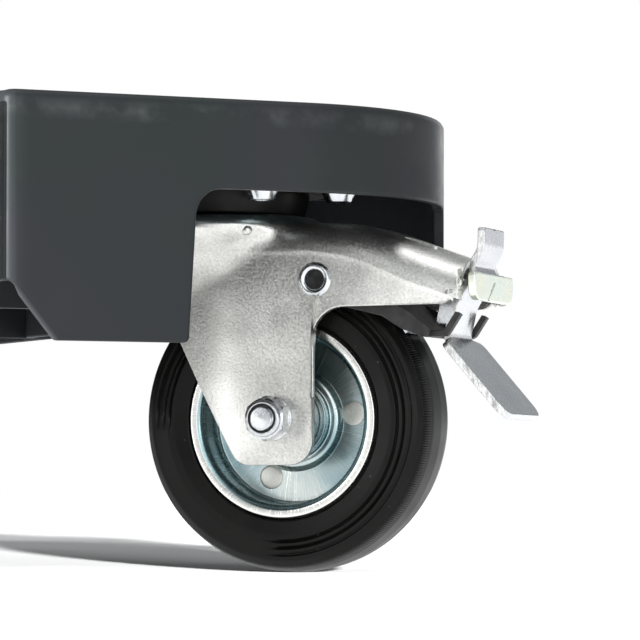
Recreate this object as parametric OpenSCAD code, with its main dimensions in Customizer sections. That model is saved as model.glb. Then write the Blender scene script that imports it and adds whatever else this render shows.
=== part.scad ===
// Low wheel trolley: a moulded deck on four swivel casters, two of them with brakes.
// +X is the braked end, +Z is up, and the origin is on the floor under the middle
// of the whole trolley, pedals included.

/* [Deck] */
// Length of the deck along X
deck_len = 600; // [520:10:1000]
// Width of the deck along Y
deck_wid = 600; // [520:10:1000]
// Height from the casters' mounting face to the top of the deck
deck_rise = 21.3; // [18:0.1:40]
// Thickness of the moulded walls
wall = 3.8; // [3:0.1:5]
// Thickness of the deck's top panel
panel_t = 5; // [4:0.5:8]
// Outer corner radius, centred on the swivel axis
corner_r = 77; // [77:1:90]
// Radius of the deck's top edge
edge_r = 3; // [1:0.5:4]
// Depth of the recess in the middle of each side
recess_d = 12; // [6:1:20]
// How far each corner housing runs past the swivel axis
block_run = 101.9; // [95:0.1:115]

/* [Housing skirt] */
// Height of the flank's lower edge above the floor
flank_z = 72.6; // [66:0.1:85]
// Height of the general skirt's lower edge above the floor
skirt_z = 91; // [88:1:107]
// Height of the caster window's top edge
window_z = 120.8; // [118:0.1:123]
// Distance from the swivel axis to the window's edge, along the wall
window_x = 42.1; // [40:0.1:46]
// Lean of the window's edge from bottom to top
window_lean = 4.7; // [0:0.1:6]
// Fillet in the window's upper corner
window_r = 9; // [4:0.5:12]
// Distance from the swivel axis to the start of the flank's slanting cut
flank_x = 85.7; // [80:0.1:90]
// Angle on the corner arc where the window ends, from the end wall's normal
window_end = 25; // [15:1:30]

/* [Top of the deck] */
// Depth of the load tray in the top panel
tray_d = 1.5; // [0.5:0.1:2.5]
// Width of the border round the load tray
tray_border = 16; // [10:1:30]
// Spacing of the anti-slip bars
bar_pitch = 30; // [20:1:60]
// Width of one anti-slip bar
bar_w = 8; // [4:1:12]
// Height of the ribs under the panel
rib_h = 22; // [15:1:30]
// Thickness of the ribs
rib_t = 3; // [2:0.1:4]
// Number of ribs each way between the housings
rib_n = 3; // [2:1:5]

/* [Caster] */
// Height of a caster from the floor to its mounting face
caster_h = 128; // [128:0.5:130]
// Offset of the wheel's axle from the swivel axis
trail = 30; // [26:0.5:32]
// Thickness of the caster's top plate
plate_t = 3; // [2.5:0.1:4]
// Size of the top plate along the deck's length
plate_x = 78; // [74:1:90]
// Size of the top plate along the deck's width
plate_y = 100; // [96:1:110]
// Screw spacing along the deck's length
screw_x = 27.5; // [26:0.5:29]
// Distance of each screw row from the swivel axis
screw_y = 40; // [38:0.5:42]
// Thickness of the pressed fork
fork_t = 2.5; // [2:0.1:3]
// Outer width of the fork
fork_w = 47; // [46:0.5:50]
// Radius of the fork's raised swivel seat
seat_r = 33.5; // [32:0.5:35]
// Distance from the fork's seat to the caster's mounting face
seat_drop = 11.5; // [11:0.1:12]

/* [Wheel] */
// Outer diameter of the tyre
tyre_d = 100; // [98:0.5:101]
// Width of the tyre
tyre_w = 30; // [28:0.5:31]
// Outer radius of the rim's lip
rim_r = 32.2; // [31:0.1:34]
// Inner radius of the tyre on the rim's drum
drum_r = 29.8; // [29:0.1:30.4]
// Thickness of the pressed rim
rim_t = 2; // [1.5:0.1:2.2]
// Radius of the hub tube
hub_r = 10.9; // [10:0.1:11.4]
// Diameter of the axle bolt
axle_d = 8; // [6:0.5:9]
// Radius of the circle that the rim's rivets sit on
rivet_ring = 20.5; // [20:0.1:21]
// Number of rim rivets
rivet_n = 3; // [3:1:6]

/* [Brake] */
// Thickness of the brake lever's plate
lever_t = 2.5; // [2:0.1:3]
// Width of the foot pedal
pedal_w = 38; // [34:1:42]
// Width of the release tab
tab_w = 21; // [18:0.5:22]
// Width of the lever's neck
neck_w = 22.4; // [20:0.2:23]
// Width of the lever's cross plate
cross_w = 41; // [36:0.5:42]
// Width of the slot in the top of the fork's arm
slot_w = 25; // [24.6:0.2:26]
// Thickness of the black brake spring
spring_t = 2; // [1.5:0.1:2.2]
// Thickness of the brake shoe
shoe_t = 1.6; // [1.2:0.1:1.8]
// Gap between the brake shoe and the tread
shoe_gap = 0.4; // [0.3:0.1:0.6]

/* [Hidden] */
CORNERS = ["front_right", "rear_right", "front_left", "rear_left"];
CASTER_PARTS = ["plate", "dust_ring", "fork", "king_pin", "bearing_balls", "axle_bolt",
    "axle_spacer", "hub", "rim_outer", "rim_inner", "rim_rivets", "tyre"];
BRAKE_PARTS = ["brake_lever", "brake_spring", "brake_shoe", "brake_pins"];
$fn = 64;

fit = 0.05;            // running clearance on a radius
eps = 0.01;
far = 400;             // longer than any cut needs

// Places of the four casters about the middle of the deck, and their headings
sx = deck_len / 2 - corner_r;
sy = deck_wid / 2 - corner_r;
SIDE_X = [1, 1, -1, -1];
SIDE_Y = [-1, 1, -1, 1];
HEADING = [-45, 45, -135, 135];

// Caster levels and radii
wheel_r = tyre_d / 2;
deck_top = caster_h + deck_rise;
panel_z = deck_top - panel_t;
seat_z = caster_h - seat_drop;
plate_z = caster_h - plate_t;
fork_in = fork_w - 2 * fork_t;
spacer_r = axle_d / 2 + fit + 2;
king_r = 6;
king_flange_t = 2.8;
ball_r = 2.7;
upper_ring = 18;
lower_ring = 12;
race_z = seat_z + 2 * ball_r + 2 * fit;
lower_race_z = seat_z - fork_t - 2 * ball_r - 2 * fit;
nut_af = 13;
washer_t = 1.5;

// Brake lever's outline in the plane of the fork, x forward and z up
pedal_tip = [107.6, 50.3];
pedal_bend = [85.3, 76.2];
neck_low = [87.6, 86.4];
neck_top = [92.2, 94.2];
cross_x = 96.85;
cross_top = 96.6;
cross_low = 87.8;
tab_low = [92.4, 97.6];
tab_mid = [96.8, 104.5];
tab_top = [97, 111.5];
arm_end = 94;
pivot = [87.1, 92.6];
pin_r = 2;
eyelet = [44.6, 95];
eyelet_bore = 3.3;
eyelet_r = 4.3;
eyelet_rim = 5.6;
pin_half = 21.6;
spring_in = 17.4;
prong_w = 3.2;
web_end = [81.4, 77.2];
// Outline of the spring's side arm from its rivet: x, z and corner radius
SPRING_ARM = [[-7, -5, 5], [21.4, -12, 4], [28.4, -16.4, 3], [36.4, -18.8, 0], [37.9, -16.4, 0],
    [31.4, -11, 3], [15.4, -2, 6], [0, 7.5, 6], [-7.5, 4, 4]];
cheek_t = 2.2;
rivet_r = 2.5;
rivet_turn = -6;
ring_in = [6, 8.2, 10.4];  // how far in from the tread each side-wall ring lies
ring_w = 0.5;
ring_sink = 0.5;

// Deck moulding
house_x = sx - block_run;
house_y = sy - block_run;
step_r = 5;
boss_r = 7;
edge_n = 4;
bar_n = floor((deck_wid / 2 - tray_border - bar_w) / bar_pitch);

// Screws of the caster plates
screw_d = 6;
screw_len = 18;
head_af = 10;
head_h = 4.3;

// Swivel
race_r = 22.5;
ring_r = 32.3;
king_flange_r = 15;
king_head_r = 11;
upper_n = 16;
lower_n = 10;

// Fork outline in its middle plane, x forward and z up
leg_x = 43.7;
leg_z = 35;
arm_low = 85.9;
back_x = -25.8;
crown_drop = 24.5;     // how far below the seat a plain fork's legs meet its crown
leg_back = 17.8;
skirt_drop = 14.5;     // depth of the raised seat's slanting skirt
knee = [57.7, 113.3];
arm_slope = 19.2;
crown_slope = 7.6;
shoulder_r = 13;
side_bend_x = 21;
side_bend_r = 65;
slot_x = 68;
nut_h = 6.5;
washer_r = 8.2;

// Foot pedal: a flat plate with rounded corners, sloping down from the neck
pedal_corner = 5;
pedal_run = pedal_tip - pedal_bend;
pedal_len = norm(pedal_run);
pedal_dir = pedal_run / pedal_len;

// The pedals stand out past the deck at the +X end only, so the middle of the whole
// trolley lies half that overhang ahead of the middle of the deck.
pedal_reach = (pedal_tip[0] - pedal_corner * pedal_dir[0] + pedal_w / 2 - pedal_corner
    + pedal_corner * norm([pedal_dir[0], 1]) - pedal_dir[1] * lever_t / 2) * cos(45);
middle_x = (pedal_reach - corner_r) / 2;

// Unit vector, and the points of a corner b between a and c rounded to radius r
function unit(v) = v / norm(v);
function corner_points(a, b, c, r, n) =
    let (u = unit(a - b), v = unit(c - b), half = acos(u * v) / 2,
         m = b + unit(u + v) * r / sin(half),
         s = b + u * r / tan(half), e = b + v * r / tan(half),
         a0 = atan2(s[1] - m[1], s[0] - m[0]), a1 = atan2(e[1] - m[1], e[0] - m[0]),
         turn = (a1 - a0 + 540) % 360 - 180)
    [for (k = [0:n]) m + r * [cos(a0 + turn * k / n), sin(a0 + turn * k / n)]];
function xy(p) = [p[0], p[1]];
// A closed outline from corners [x, y, radius]
function outline(p, n = 6) = [for (i = [0:len(p) - 1])
    each (p[i][2] == 0 ? [xy(p[i])] : corner_points(xy(p[(i + len(p) - 1) % len(p)]),
        xy(p[i]), xy(p[(i + 1) % len(p)]), p[i][2], n))];
// An open path whose inner corners are rounded
function path(p, n = 6) = [for (i = [0:len(p) - 1])
    each (i == 0 || i == len(p) - 1 || p[i][2] == 0 ? [xy(p[i])]
        : corner_points(xy(p[i - 1]), xy(p[i]), xy(p[i + 1]), p[i][2], n))];
// The path moved sideways by d, to its left
function beside(p, d) = [for (i = [0:len(p) - 1])
    let (t0 = i == 0 ? unit(p[1] - p[0]) : unit(p[i] - p[i - 1]),
         t1 = i == len(p) - 1 ? t0 : unit(p[i + 1] - p[i]),
         t = unit(t0 + t1), k = t * t0)
    p[i] + [-t[1], t[0]] * d / k];
function reverse(p) = [for (i = [len(p) - 1:-1:0]) p[i]];
// A strip of sheet of thickness t along the path
function strip(p, t) = concat(beside(p, t / 2), reverse(beside(p, -t / 2)));
// Points on a circle of radius r about the axle, from angle a to angle b
function round_wheel(r, a, b, n) = [for (k = [0:n])
    [trail + r * cos(a + (b - a) * k / n), wheel_r + r * sin(a + (b - a) * k / n)]];

// Extrude an x-z profile along y, centred, to width w
module across(w) {
    translate([0, w / 2, 0]) rotate([90, 0, 0]) linear_extrude(w) children();
}
// Extrude an x-z profile along y from y0 to y1
module between(y0, y1) {
    translate([0, y1, 0]) rotate([90, 0, 0]) linear_extrude(y1 - y0) children();
}
// Turn a profile of [radius, y] round the wheel's axle
module about_axle() {
    translate([trail, 0, wheel_r]) rotate([-90, 0, 0]) rotate_extrude() children();
}
// A round bar along y through the point p = [x, z], from y0 to y1
module bar(p, r, y0, y1) {
    translate([p[0], y0, p[1]]) rotate([-90, 0, 0]) cylinder(r = r, h = y1 - y0);
}
module hexagon(af) { circle(r = af / sqrt(3), $fn = 6); }
// The same on both sides of the fork's middle plane
module both_sides() {
    children();
    mirror([0, 1, 0]) children();
}
// Put a piece drawn for the front right corner, or for one caster, in its place
module in_corner(i) {
    translate([SIDE_X[i] * sx - middle_x, SIDE_Y[i] * sy, 0])
        mirror([SIDE_X[i] < 0 ? 1 : 0, 0, 0]) mirror([0, SIDE_Y[i] > 0 ? 1 : 0, 0]) children();
}
module at_caster(i, turn = true) {
    translate([SIDE_X[i] * sx - middle_x, SIDE_Y[i] * sy, 0])
        rotate([0, 0, turn ? HEADING[i] : 0]) children();
}

// Plan outline of the deck, moved inwards by d: four corner housings that stand out
// past the recessed sides.
module plan(d) {
    hx = deck_len / 2 - d;
    hy = deck_wid / 2 - d;
    bx = house_x + d;
    by = house_y + d;
    r = corner_r - d;
    out = max(step_r - d, 1);
    inn = step_r + d;
    polygon(outline([
        [hx, -hy, r], [hx, -by, out], [hx - recess_d, -by, inn],
        [hx - recess_d, by, inn], [hx, by, out], [hx, hy, r],
        [bx, hy, out], [bx, hy - recess_d, inn],
        [-bx, hy - recess_d, inn], [-bx, hy, out], [-hx, hy, r],
        [-hx, by, out], [-hx + recess_d, by, inn],
        [-hx + recess_d, -by, inn], [-hx, -by, out], [-hx, -hy, r],
        [-bx, -hy, out], [-bx, -hy + recess_d, inn],
        [bx, -hy + recess_d, inn], [bx, -hy, out]], 10));
}

// The flank: the part of the side wall that hangs below the general skirt
module flank() {
    translate([0, -corner_r + wall, 0]) rotate([90, 0, 0]) linear_extrude(wall)
        polygon([[-block_run + step_r, skirt_z + 1], [-block_run + step_r, skirt_z],
            [-block_run + 1, skirt_z], [-flank_x, flank_z], [-window_x, flank_z],
            [-window_x + window_lean, window_z], [-window_x, window_z]]);
}

// The cut for the caster's arm: a window in the side wall and on round the corner
module window_cut() {
    translate([0, -corner_r + wall + 1, 0]) rotate([90, 0, 0]) linear_extrude(wall + 2)
        polygon(outline([[-window_x - 0.2, flank_z - 2, 0], [-window_x + window_lean, window_z, window_r],
            [1, window_z, 0], [1, flank_z - 2, 0]]));
    linear_extrude(window_z) difference() {
        intersection() {
            circle(r = corner_r + wall);
            polygon([[0, 0], [0, -far], [far, -far], [far, -far * tan(window_end)]]);
        }
        circle(r = corner_r - wall - 1);
    }
}

// Inner walls of a housing, and the bosses and ribs that the caster's plate sits on
module housing() {
    inner = block_run + corner_r;
    translate([-block_run, -corner_r + wall / 2, skirt_z])
        cube([wall, inner - wall, panel_z + 1 - skirt_z]);
    translate([-block_run, block_run - wall, skirt_z])
        cube([inner - wall / 2, wall, panel_z + 1 - skirt_z]);
    for (x = [-screw_x, 0, screw_x], y = [-screw_y, screw_y])
        translate([x, y, caster_h]) cylinder(r = boss_r, h = panel_z + 1 - caster_h);
    for (y = [-screw_y, screw_y])
        translate([-block_run + wall / 2, y - rib_t / 2, caster_h])
            cube([block_run + sqrt(pow(corner_r - wall, 2) - screw_y * screw_y), rib_t, panel_z + 1 - caster_h]);
    for (x = [-screw_x, screw_x])
        translate([x - rib_t / 2, -corner_r + wall / 2 + 4, caster_h])
            cube([rib_t, corner_r + block_run - wall - 4, panel_z + 1 - caster_h]);
}

module deck() {
    color("#454c50") translate([-middle_x, 0, 0]) difference() {
        union() {
            // Top panel, its edge rounded in steps
            translate([0, 0, panel_z]) linear_extrude(panel_t - edge_r) plan(0);
            for (k = [0:edge_n - 1])
                translate([0, 0, deck_top - edge_r + k * edge_r / edge_n - eps])
                    linear_extrude(edge_r / edge_n + eps)
                        plan(edge_r - sqrt(edge_r * edge_r - pow((k + 0.5) * edge_r / edge_n, 2)));
            // Skirt all round
            difference() {
                union() {
                    translate([0, 0, skirt_z]) linear_extrude(panel_z + eps - skirt_z) difference() {
                        plan(0);
                        plan(wall);
                    }
                    for (i = [0:3]) translate([middle_x, 0, 0]) in_corner(i) flank();
                }
                for (i = [0:3]) translate([middle_x, 0, 0]) in_corner(i) window_cut();
            }
            for (i = [0:3]) translate([middle_x, 0, 0]) in_corner(i) housing();
            // Ribs under the panel between the housings
            translate([0, 0, panel_z - rib_h]) for (k = [1:rib_n]) {
                y = -house_y + 2 * house_y * k / (rib_n + 1);
                x = -house_x + 2 * house_x * k / (rib_n + 1);
                translate([-deck_len / 2 + recess_d + wall / 2, y - rib_t / 2, 0])
                    cube([deck_len - 2 * recess_d - wall, rib_t, rib_h + 1]);
                translate([x - rib_t / 2, -deck_wid / 2 + recess_d + wall / 2, 0])
                    cube([rib_t, deck_wid - 2 * recess_d - wall, rib_h + 1]);
            }
        }
        // Load tray, with anti-slip bars left standing in it
        translate([0, 0, deck_top - tray_d]) linear_extrude(tray_d + 1) difference() {
            plan(tray_border);
            intersection() {
                plan(tray_border + bar_w);
                for (k = [-bar_n:bar_n])
                    translate([-deck_len / 2, k * bar_pitch - bar_w / 2]) square([deck_len, bar_w]);
            }
        }
        // Pilot holes for the casters' screws
        for (i = [0:3], x = [-screw_x, 0, screw_x], y = [-screw_y, screw_y])
            translate([middle_x, 0, 0]) at_caster(i, false) translate([x, y, caster_h - 1])
                cylinder(r = screw_d / 2 + fit, h = screw_len - plate_t + 2);
    }
}

// Six hex-head screws in each caster's plate
module caster_screws() {
    color("#c4c6c5") for (i = [0:3], x = [-screw_x, 0, screw_x], y = [-screw_y, screw_y])
        at_caster(i, false) translate([x, y, 0]) {
            translate([0, 0, plate_z]) cylinder(r = screw_d / 2, h = screw_len);
            intersection() {
                translate([0, 0, plate_z - head_h]) linear_extrude(head_h) hexagon(head_af);
                translate([0, 0, plate_z - head_h])
                    cylinder(r1 = head_af * 0.4, r2 = head_af * 0.4 + 2 * head_h, h = head_h);
            }
        }
}

// Caster plate with the upper race pressed down in its middle
module plate() {
    color("#b9bcbc") difference() {
        union() {
            translate([0, 0, plate_z]) linear_extrude(plate_t) polygon(outline([
                [plate_x / 2, -plate_y / 2, 8], [plate_x / 2, plate_y / 2, 8],
                [-plate_x / 2, plate_y / 2, 8], [-plate_x / 2, -plate_y / 2, 8]]));
            translate([0, 0, race_z]) cylinder(r = race_r, h = plate_z - race_z + eps);
        }
        translate([0, 0, race_z - 1]) cylinder(r = king_r + fit, h = caster_h);
        for (x = [-screw_x, 0, screw_x], y = [-screw_y, screw_y])
            translate([x, y, plate_z - 1]) cylinder(r = screw_d / 2 + 0.2, h = plate_t + 2);
    }
}

// Ring that keeps dirt out of the swivel bearing
module dust_ring() {
    top = plate_z - fit;
    low = seat_z + 0.5;
    color("#2b2624") rotate_extrude() polygon([[race_r + 1.2, top], [ring_r, top],
        [ring_r - 0.4, top - 3], [ring_r - 1.7, low + 0.6], [ring_r - 2.3, low], [race_r + 3, low]]);
}

// King pin: head on the plate, shaft through the fork, flange under the lower balls
module king_pin() {
    color("#a9acac") rotate_extrude() polygon([
        [0, lower_race_z - king_flange_t], [king_flange_r - 1, lower_race_z - king_flange_t],
        [king_flange_r, lower_race_z - king_flange_t + 1], [king_flange_r, lower_race_z],
        [king_r, lower_race_z], [king_r, caster_h], [king_head_r, caster_h],
        [king_head_r, caster_h + 1.5], [king_head_r - 2, caster_h + 2.8], [0, caster_h + 2.8]]);
}

// Two rows of balls, above and below the fork's crown
module bearing_balls() {
    color("#d8dadb") {
        for (k = [0:upper_n - 1]) rotate([0, 0, k * 360 / upper_n])
            translate([upper_ring, 0, seat_z + ball_r + fit]) sphere(r = ball_r);
        for (k = [0:lower_n - 1]) rotate([0, 0, k * 360 / lower_n])
            translate([lower_ring, 0, lower_race_z + ball_r + fit]) sphere(r = ball_r);
    }
}

// A channel that runs down the slope at angle a through the point p, open below,
// with half width w and rounded shoulders of radius r
module ridge(p, a, w, r) {
    translate([p[0], 0, p[1]]) rotate([0, a, 0]) rotate([90, 0, 90]) translate([0, 0, -far])
        linear_extrude(2 * far) {
            translate([-w, -far]) square([2 * w, far - r]);
            translate([r - w, -r - 1]) square([2 * (w - r), r + 1]);
            translate([w - r, -r]) circle(r = r);
            translate([r - w, -r]) circle(r = r);
        }
}
// The fork's full form, moved inwards by d: flat sides that close in towards the back
// and rounded shoulders along the arm's ridge
module fork_form(d) {
    w = fork_w / 2 - d;
    intersection() {
        translate([0, 0, -1]) linear_extrude(seat_z - d + 1) union() {
            translate([side_bend_x, -w]) square([far, 2 * w]);
            intersection() {
                translate([side_bend_x, side_bend_r - fork_w / 2]) circle(r = side_bend_r - d, $fn = 128);
                translate([side_bend_x, fork_w / 2 - side_bend_r]) circle(r = side_bend_r - d, $fn = 128);
            }
        }
        ridge(knee - [0, d], arm_slope, w, shoulder_r - d);
        ridge(knee - [0, d], crown_slope, w, shoulder_r - 2 - d);
    }
}
leg_corners = [[leg_back, leg_z, 7], [leg_x, leg_z, 8]];
function fork_side(braked) = outline(concat(leg_corners, braked
    ? [[leg_x, arm_low, 10.5], [arm_end - 5.5, arm_low + 0.5, 5], [arm_end, arm_low + 6, 3],
        [arm_end, seat_z, 0]]
    : [[leg_x, seat_z - crown_drop, 15], [seat_r + 2, seat_z - crown_drop / 3, 6], [seat_r + 2, seat_z, 0]],
    [[back_x + 6, seat_z, 0], [back_x, seat_z - fork_t, 0]]));

module fork(braked) {
    color("#c9cac6") difference() {
        union() {
            difference() {
                intersection() {
                    across(fork_w + 2) polygon(fork_side(braked));
                    fork_form(0);
                }
                fork_form(fork_t);
            }
            difference() {
                rotate_extrude() polygon([[king_r + 4, seat_z - fork_t], [king_r + 4, seat_z],
                    [seat_r, seat_z], [seat_r + 3.5, seat_z - 3.3], [seat_r + 3.5, seat_z - 4.7],
                    [fork_w / 2 + 1.5, seat_z - skirt_drop], [fork_w / 2 - 1, seat_z - skirt_drop],
                    [fork_w / 2 - 1, seat_z - fork_t]]);
                fork_form(fork_t);
            }
            translate([0, 0, seat_z - fork_t]) cylinder(r = seat_r - 2, h = fork_t);
        }
        translate([0, 0, seat_z - fork_t - 1]) cylinder(r = king_r + fit, h = fork_t + 2);
        bar([trail, wheel_r], axle_d / 2 + fit, -fork_w, fork_w);
        if (braked) {
            bar(eyelet, eyelet_r + fit, -fork_w, fork_w);
            bar(pivot, pin_r + fit, -pin_half, pin_half);
            translate([0, 0, arm_low + 8]) linear_extrude(far) polygon([[slot_x, -4], [slot_x + 6, -slot_w / 2],
                [far, -slot_w / 2], [far, slot_w / 2], [slot_x + 6, slot_w / 2], [slot_x, 4]]);
        }
    }
}

// Hollow rivets in the fork's sides that the brake spring hangs on, and the lever's pin
module brake_pins() {
    color("#bfc1bf") {
        both_sides() translate([eyelet[0], 0, eyelet[1]]) rotate([90, 0, 0]) difference() {
            union() {
                translate([0, 0, spring_in]) cylinder(r = eyelet_r, h = fork_w / 2 - spring_in);
                translate([0, 0, fork_w / 2]) cylinder(r1 = eyelet_rim, r2 = eyelet_rim - 0.5, h = 0.8);
            }
            translate([0, 0, spring_in - 1]) cylinder(r = eyelet_bore, h = fork_w);
        }
        bar(pivot, pin_r, -pin_half, pin_half);
    }
}

// Axle bolt with its washers and locking nut
module axle_bolt() {
    outer = fork_w / 2;
    color("#d0d2d3") translate([trail, 0, wheel_r]) rotate([90, 0, 0]) {
        translate([0, 0, -outer - washer_t]) cylinder(r = axle_d / 2, h = 2 * outer + washer_t + nut_h + 3);
        translate([0, 0, -outer - washer_t - 5.3]) intersection() {
            linear_extrude(5.3) hexagon(nut_af);
            cylinder(r1 = nut_af * 0.46, r2 = nut_af * 0.46 + 10.6, h = 5.3);
        }
        difference() {
            union() {
                translate([0, 0, -outer - washer_t]) cylinder(r = washer_r, h = washer_t);
                translate([0, 0, outer]) cylinder(r = washer_r, h = washer_t);
                translate([0, 0, outer + washer_t]) intersection() {
                    linear_extrude(nut_h) hexagon(nut_af);
                    cylinder(r1 = nut_af * 0.6 + nut_h, r2 = nut_af * 0.5, h = nut_h);
                }
                translate([0, 0, outer + washer_t]) cylinder(r = nut_af * 0.44, h = nut_h + 1.5);
            }
            translate([0, 0, -far]) cylinder(r = axle_d / 2 + fit, h = 2 * far);
        }
    }
}

// Tube clamped between the fork's legs, which the hub turns on
module axle_spacer() {
    half = fork_in / 2;
    color("#a9acac") about_axle() polygon([[axle_d / 2 + fit, -half], [spacer_r, -half],
        [spacer_r, half], [axle_d / 2 + fit, half]]);
}
module hub() {
    half = fork_in / 2 - 1.2;
    color("#9aa3a6") about_axle() polygon([[spacer_r + fit, -half], [hub_r, -half],
        [hub_r, half], [spacer_r + fit, half]]);
}

// One pressed half of the rim: collar round the hub, disc, drum and lip
module rim_half() {
    bead = tyre_w / 2 - 1;
    face = rim_t / 2 + fit;
    drum = drum_r - rim_t / 2 - fit;
    collar = hub_r + fit + rim_t / 2;
    difference() {
        about_axle() polygon(strip(path([[collar, 8.5, 0], [collar, 3.6, 1.5], [collar + 3.2, 3.6, 1.2],
            [collar + 4.4, face, 1.2], [drum, face, 1.6], [drum, bead, 1.2], [rim_r, bead, 0]], 4), rim_t));
        translate([trail, 0, wheel_r]) rotate([-90, 0, 0]) for (k = [0:rivet_n - 1])
            rotate([0, 0, rivet_turn + k * 360 / rivet_n]) translate([rivet_ring, 0, -1])
                cylinder(r = rivet_r + fit, h = 6);
    }
}
module rim_inner() { color("#b8c4c4") rim_half(); }
module rim_outer() { color("#b8c4c4") mirror([0, 1, 0]) rim_half(); }
module rim_rivets() {
    face = rim_t + 2 * fit;
    color("#b4b6b4") translate([trail, 0, wheel_r]) rotate([-90, 0, 0]) for (k = [0:rivet_n - 1])
        rotate([0, 0, rivet_turn + k * 360 / rivet_n]) translate([rivet_ring, 0, 0]) rotate_extrude()
            polygon([[0, -face - 1.1], [2.6, -face - 0.9], [3.75, -face - 0.2], [3.75, -face],
                [rivet_r, -face], [rivet_r, face], [3.75, face], [3.75, face + 0.2], [2.6, face + 0.9],
                [0, face + 1.1]]);
}

// One side of the tyre's section, from the tread's middle down to the bead
function tyre_side(s) = let (w = tyre_w / 2, r = wheel_r) concat(
    [[r - 0.15, 4.5 * s], [r - 0.8, 8 * s], [r - 2, (w - 4) * s], [r - 4, (w - 1.6) * s],
        [r - 5.2, (w - 0.9) * s]],
    [for (g = ring_in) each [[r - g + ring_w, (w - 0.6) * s], [r - g, (w - 0.6 - ring_sink) * s],
        [r - g - ring_w, (w - 0.5) * s]]],
    [[r - 14, (w - 0.7) * s], [rim_r + 0.4, (w - 1.4) * s], [rim_r + 0.2, (w - 2.2) * s], [drum_r, (w - 2.2) * s]]);
module tyre() {
    color("#1d1d1c") about_axle() polygon(concat(tyre_side(-1), reverse(tyre_side(1)), [[wheel_r, 0]]));
}

// Brake lever: pedal, folded neck, cross plate and release tab
module brake_lever() {
    low = path([concat(pedal_bend, 0) - 2.5 * concat(-pedal_dir, 0), concat(pedal_bend, 3), concat(neck_low, 8),
        concat(neck_top, 4), [cross_x, cross_top - lever_t / 2, 0]]);
    up = path([[cross_x, cross_top - lever_t / 2, 0], concat(tab_low, 3), concat(tab_mid, 6), concat(tab_top, 0)]);
    tilt = atan2(-pedal_dir[1], pedal_dir[0]);
    color("#c3c5c6") {
        across(neck_w) polygon(strip(low, lever_t));
        across(tab_w) polygon(strip(up, lever_t));
        // Cross plate with an ear on each side of the neck
        translate([cross_x - lever_t / 2, 0, 0]) rotate([90, 0, 90]) linear_extrude(lever_t) {
            polygon(outline([[-cross_w / 2, cross_top - lever_t, 0], [cross_w / 2, cross_top - lever_t, 0],
                [cross_w / 2, cross_top, 1], [-cross_w / 2, cross_top, 1]]));
            for (s = [-1, 1]) polygon(outline([[s * (neck_w / 2 + 0.5), cross_low, 0], [s * cross_w / 2, cross_low, 5],
                [s * cross_w / 2, cross_top - 1, 0], [s * (neck_w / 2 + 0.5), cross_top - 1, 0]]));
        }
        // Cheeks folded back from the neck's sides, which turn on the lever's pin
        both_sides() difference() {
            between(neck_w / 2 - cheek_t, neck_w / 2)
                polygon([neck_low - [0, 6], neck_low, neck_top, pivot + [0, 4.5], pivot + [-4, 1],
                    pivot - [4.2, 6], pivot - [5.6, 12]]);
            bar(pivot, pin_r + fit, -fork_w, fork_w);
        }
        // Pedal
        translate([pedal_bend[0], 0, pedal_bend[1]]) rotate([0, tilt, 0])
            translate([0, 0, -lever_t / 2]) linear_extrude(lever_t) polygon(outline([
                [2, -pedal_w / 2, 3], [pedal_len, -pedal_w / 2, pedal_corner],
                [pedal_len, pedal_w / 2, pedal_corner], [2, pedal_w / 2, 3]]));
    }
}

// Black spring: side arms that hang on the hollow rivets, a web under the fork's arm
// and two prongs turned up round the lever's neck
module brake_spring() {
    web_r = wheel_r + shoe_gap + shoe_t + fit + spring_t / 2;
    web = concat(reverse(round_wheel(web_r, 40, 62, 6)), [web_end - [2.4, 0], web_end]);
    color("#2a2a2a") {
        across(2 * spring_in + 2 * spring_t - 1) polygon(strip(web, spring_t));
        both_sides() between(spring_in + fit, spring_in + fit + spring_t) difference() {
            polygon(outline([for (p = SPRING_ARM) [eyelet[0] + p[0], eyelet[1] + p[1], p[2]]]));
            translate(eyelet) circle(r = eyelet_r + fit);
        }
        both_sides() between(neck_w / 2 + 1.2, neck_w / 2 + 1.2 + prong_w)
            polygon(strip(path([concat(web_end - [2.4, 0], 0), concat(web_end + [5, 0.2], 1.5),
                concat(web_end + [9.2, 6.6], 0)], 4), spring_t));
    }
}

// Zinc brake shoe, curved to the tread, under the spring's web
SHOE_ARC = [33, 66];
module brake_shoe() {
    r = wheel_r + shoe_gap + shoe_t / 2;
    color("#c8cac8") across(tyre_w - 2) polygon(strip(reverse(round_wheel(r, SHOE_ARC[0], SHOE_ARC[1], 8)), shoe_t));
}

// Every node, each in its place
deck();
caster_screws();
for (i = [0:3]) {
    c = str(CORNERS[i], "_");
    at_caster(i, false) plate();
    at_caster(i) dust_ring();
    at_caster(i) fork(i < 2);
    at_caster(i) king_pin();
    at_caster(i) bearing_balls();
    at_caster(i) axle_bolt();
    at_caster(i) axle_spacer();
    at_caster(i) hub();
    at_caster(i) rim_outer();
    at_caster(i) rim_inner();
    at_caster(i) rim_rivets();
    at_caster(i) tyre();
}
for (i = [0:1]) {
    c = str(CORNERS[i], "_");
    at_caster(i) brake_lever();
    at_caster(i) brake_spring();
    at_caster(i) brake_shoe();
    at_caster(i) brake_pins();
}
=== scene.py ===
"""Wheel trolley: a dark moulded deck on four zinc-plated swivel casters, two with brakes.

Lengths are millimetres up to put(), which writes metres. A caster's pieces are drawn in its
own frame: x ahead along the fork's arm, y to its left, z up, origin on the floor under the
swivel. caster_piece() turns them to the caster's heading and sets them at its corner.
Deck pieces are drawn from the deck's own middle. Finishes, lights and camera use metres.
"""

import math

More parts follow.
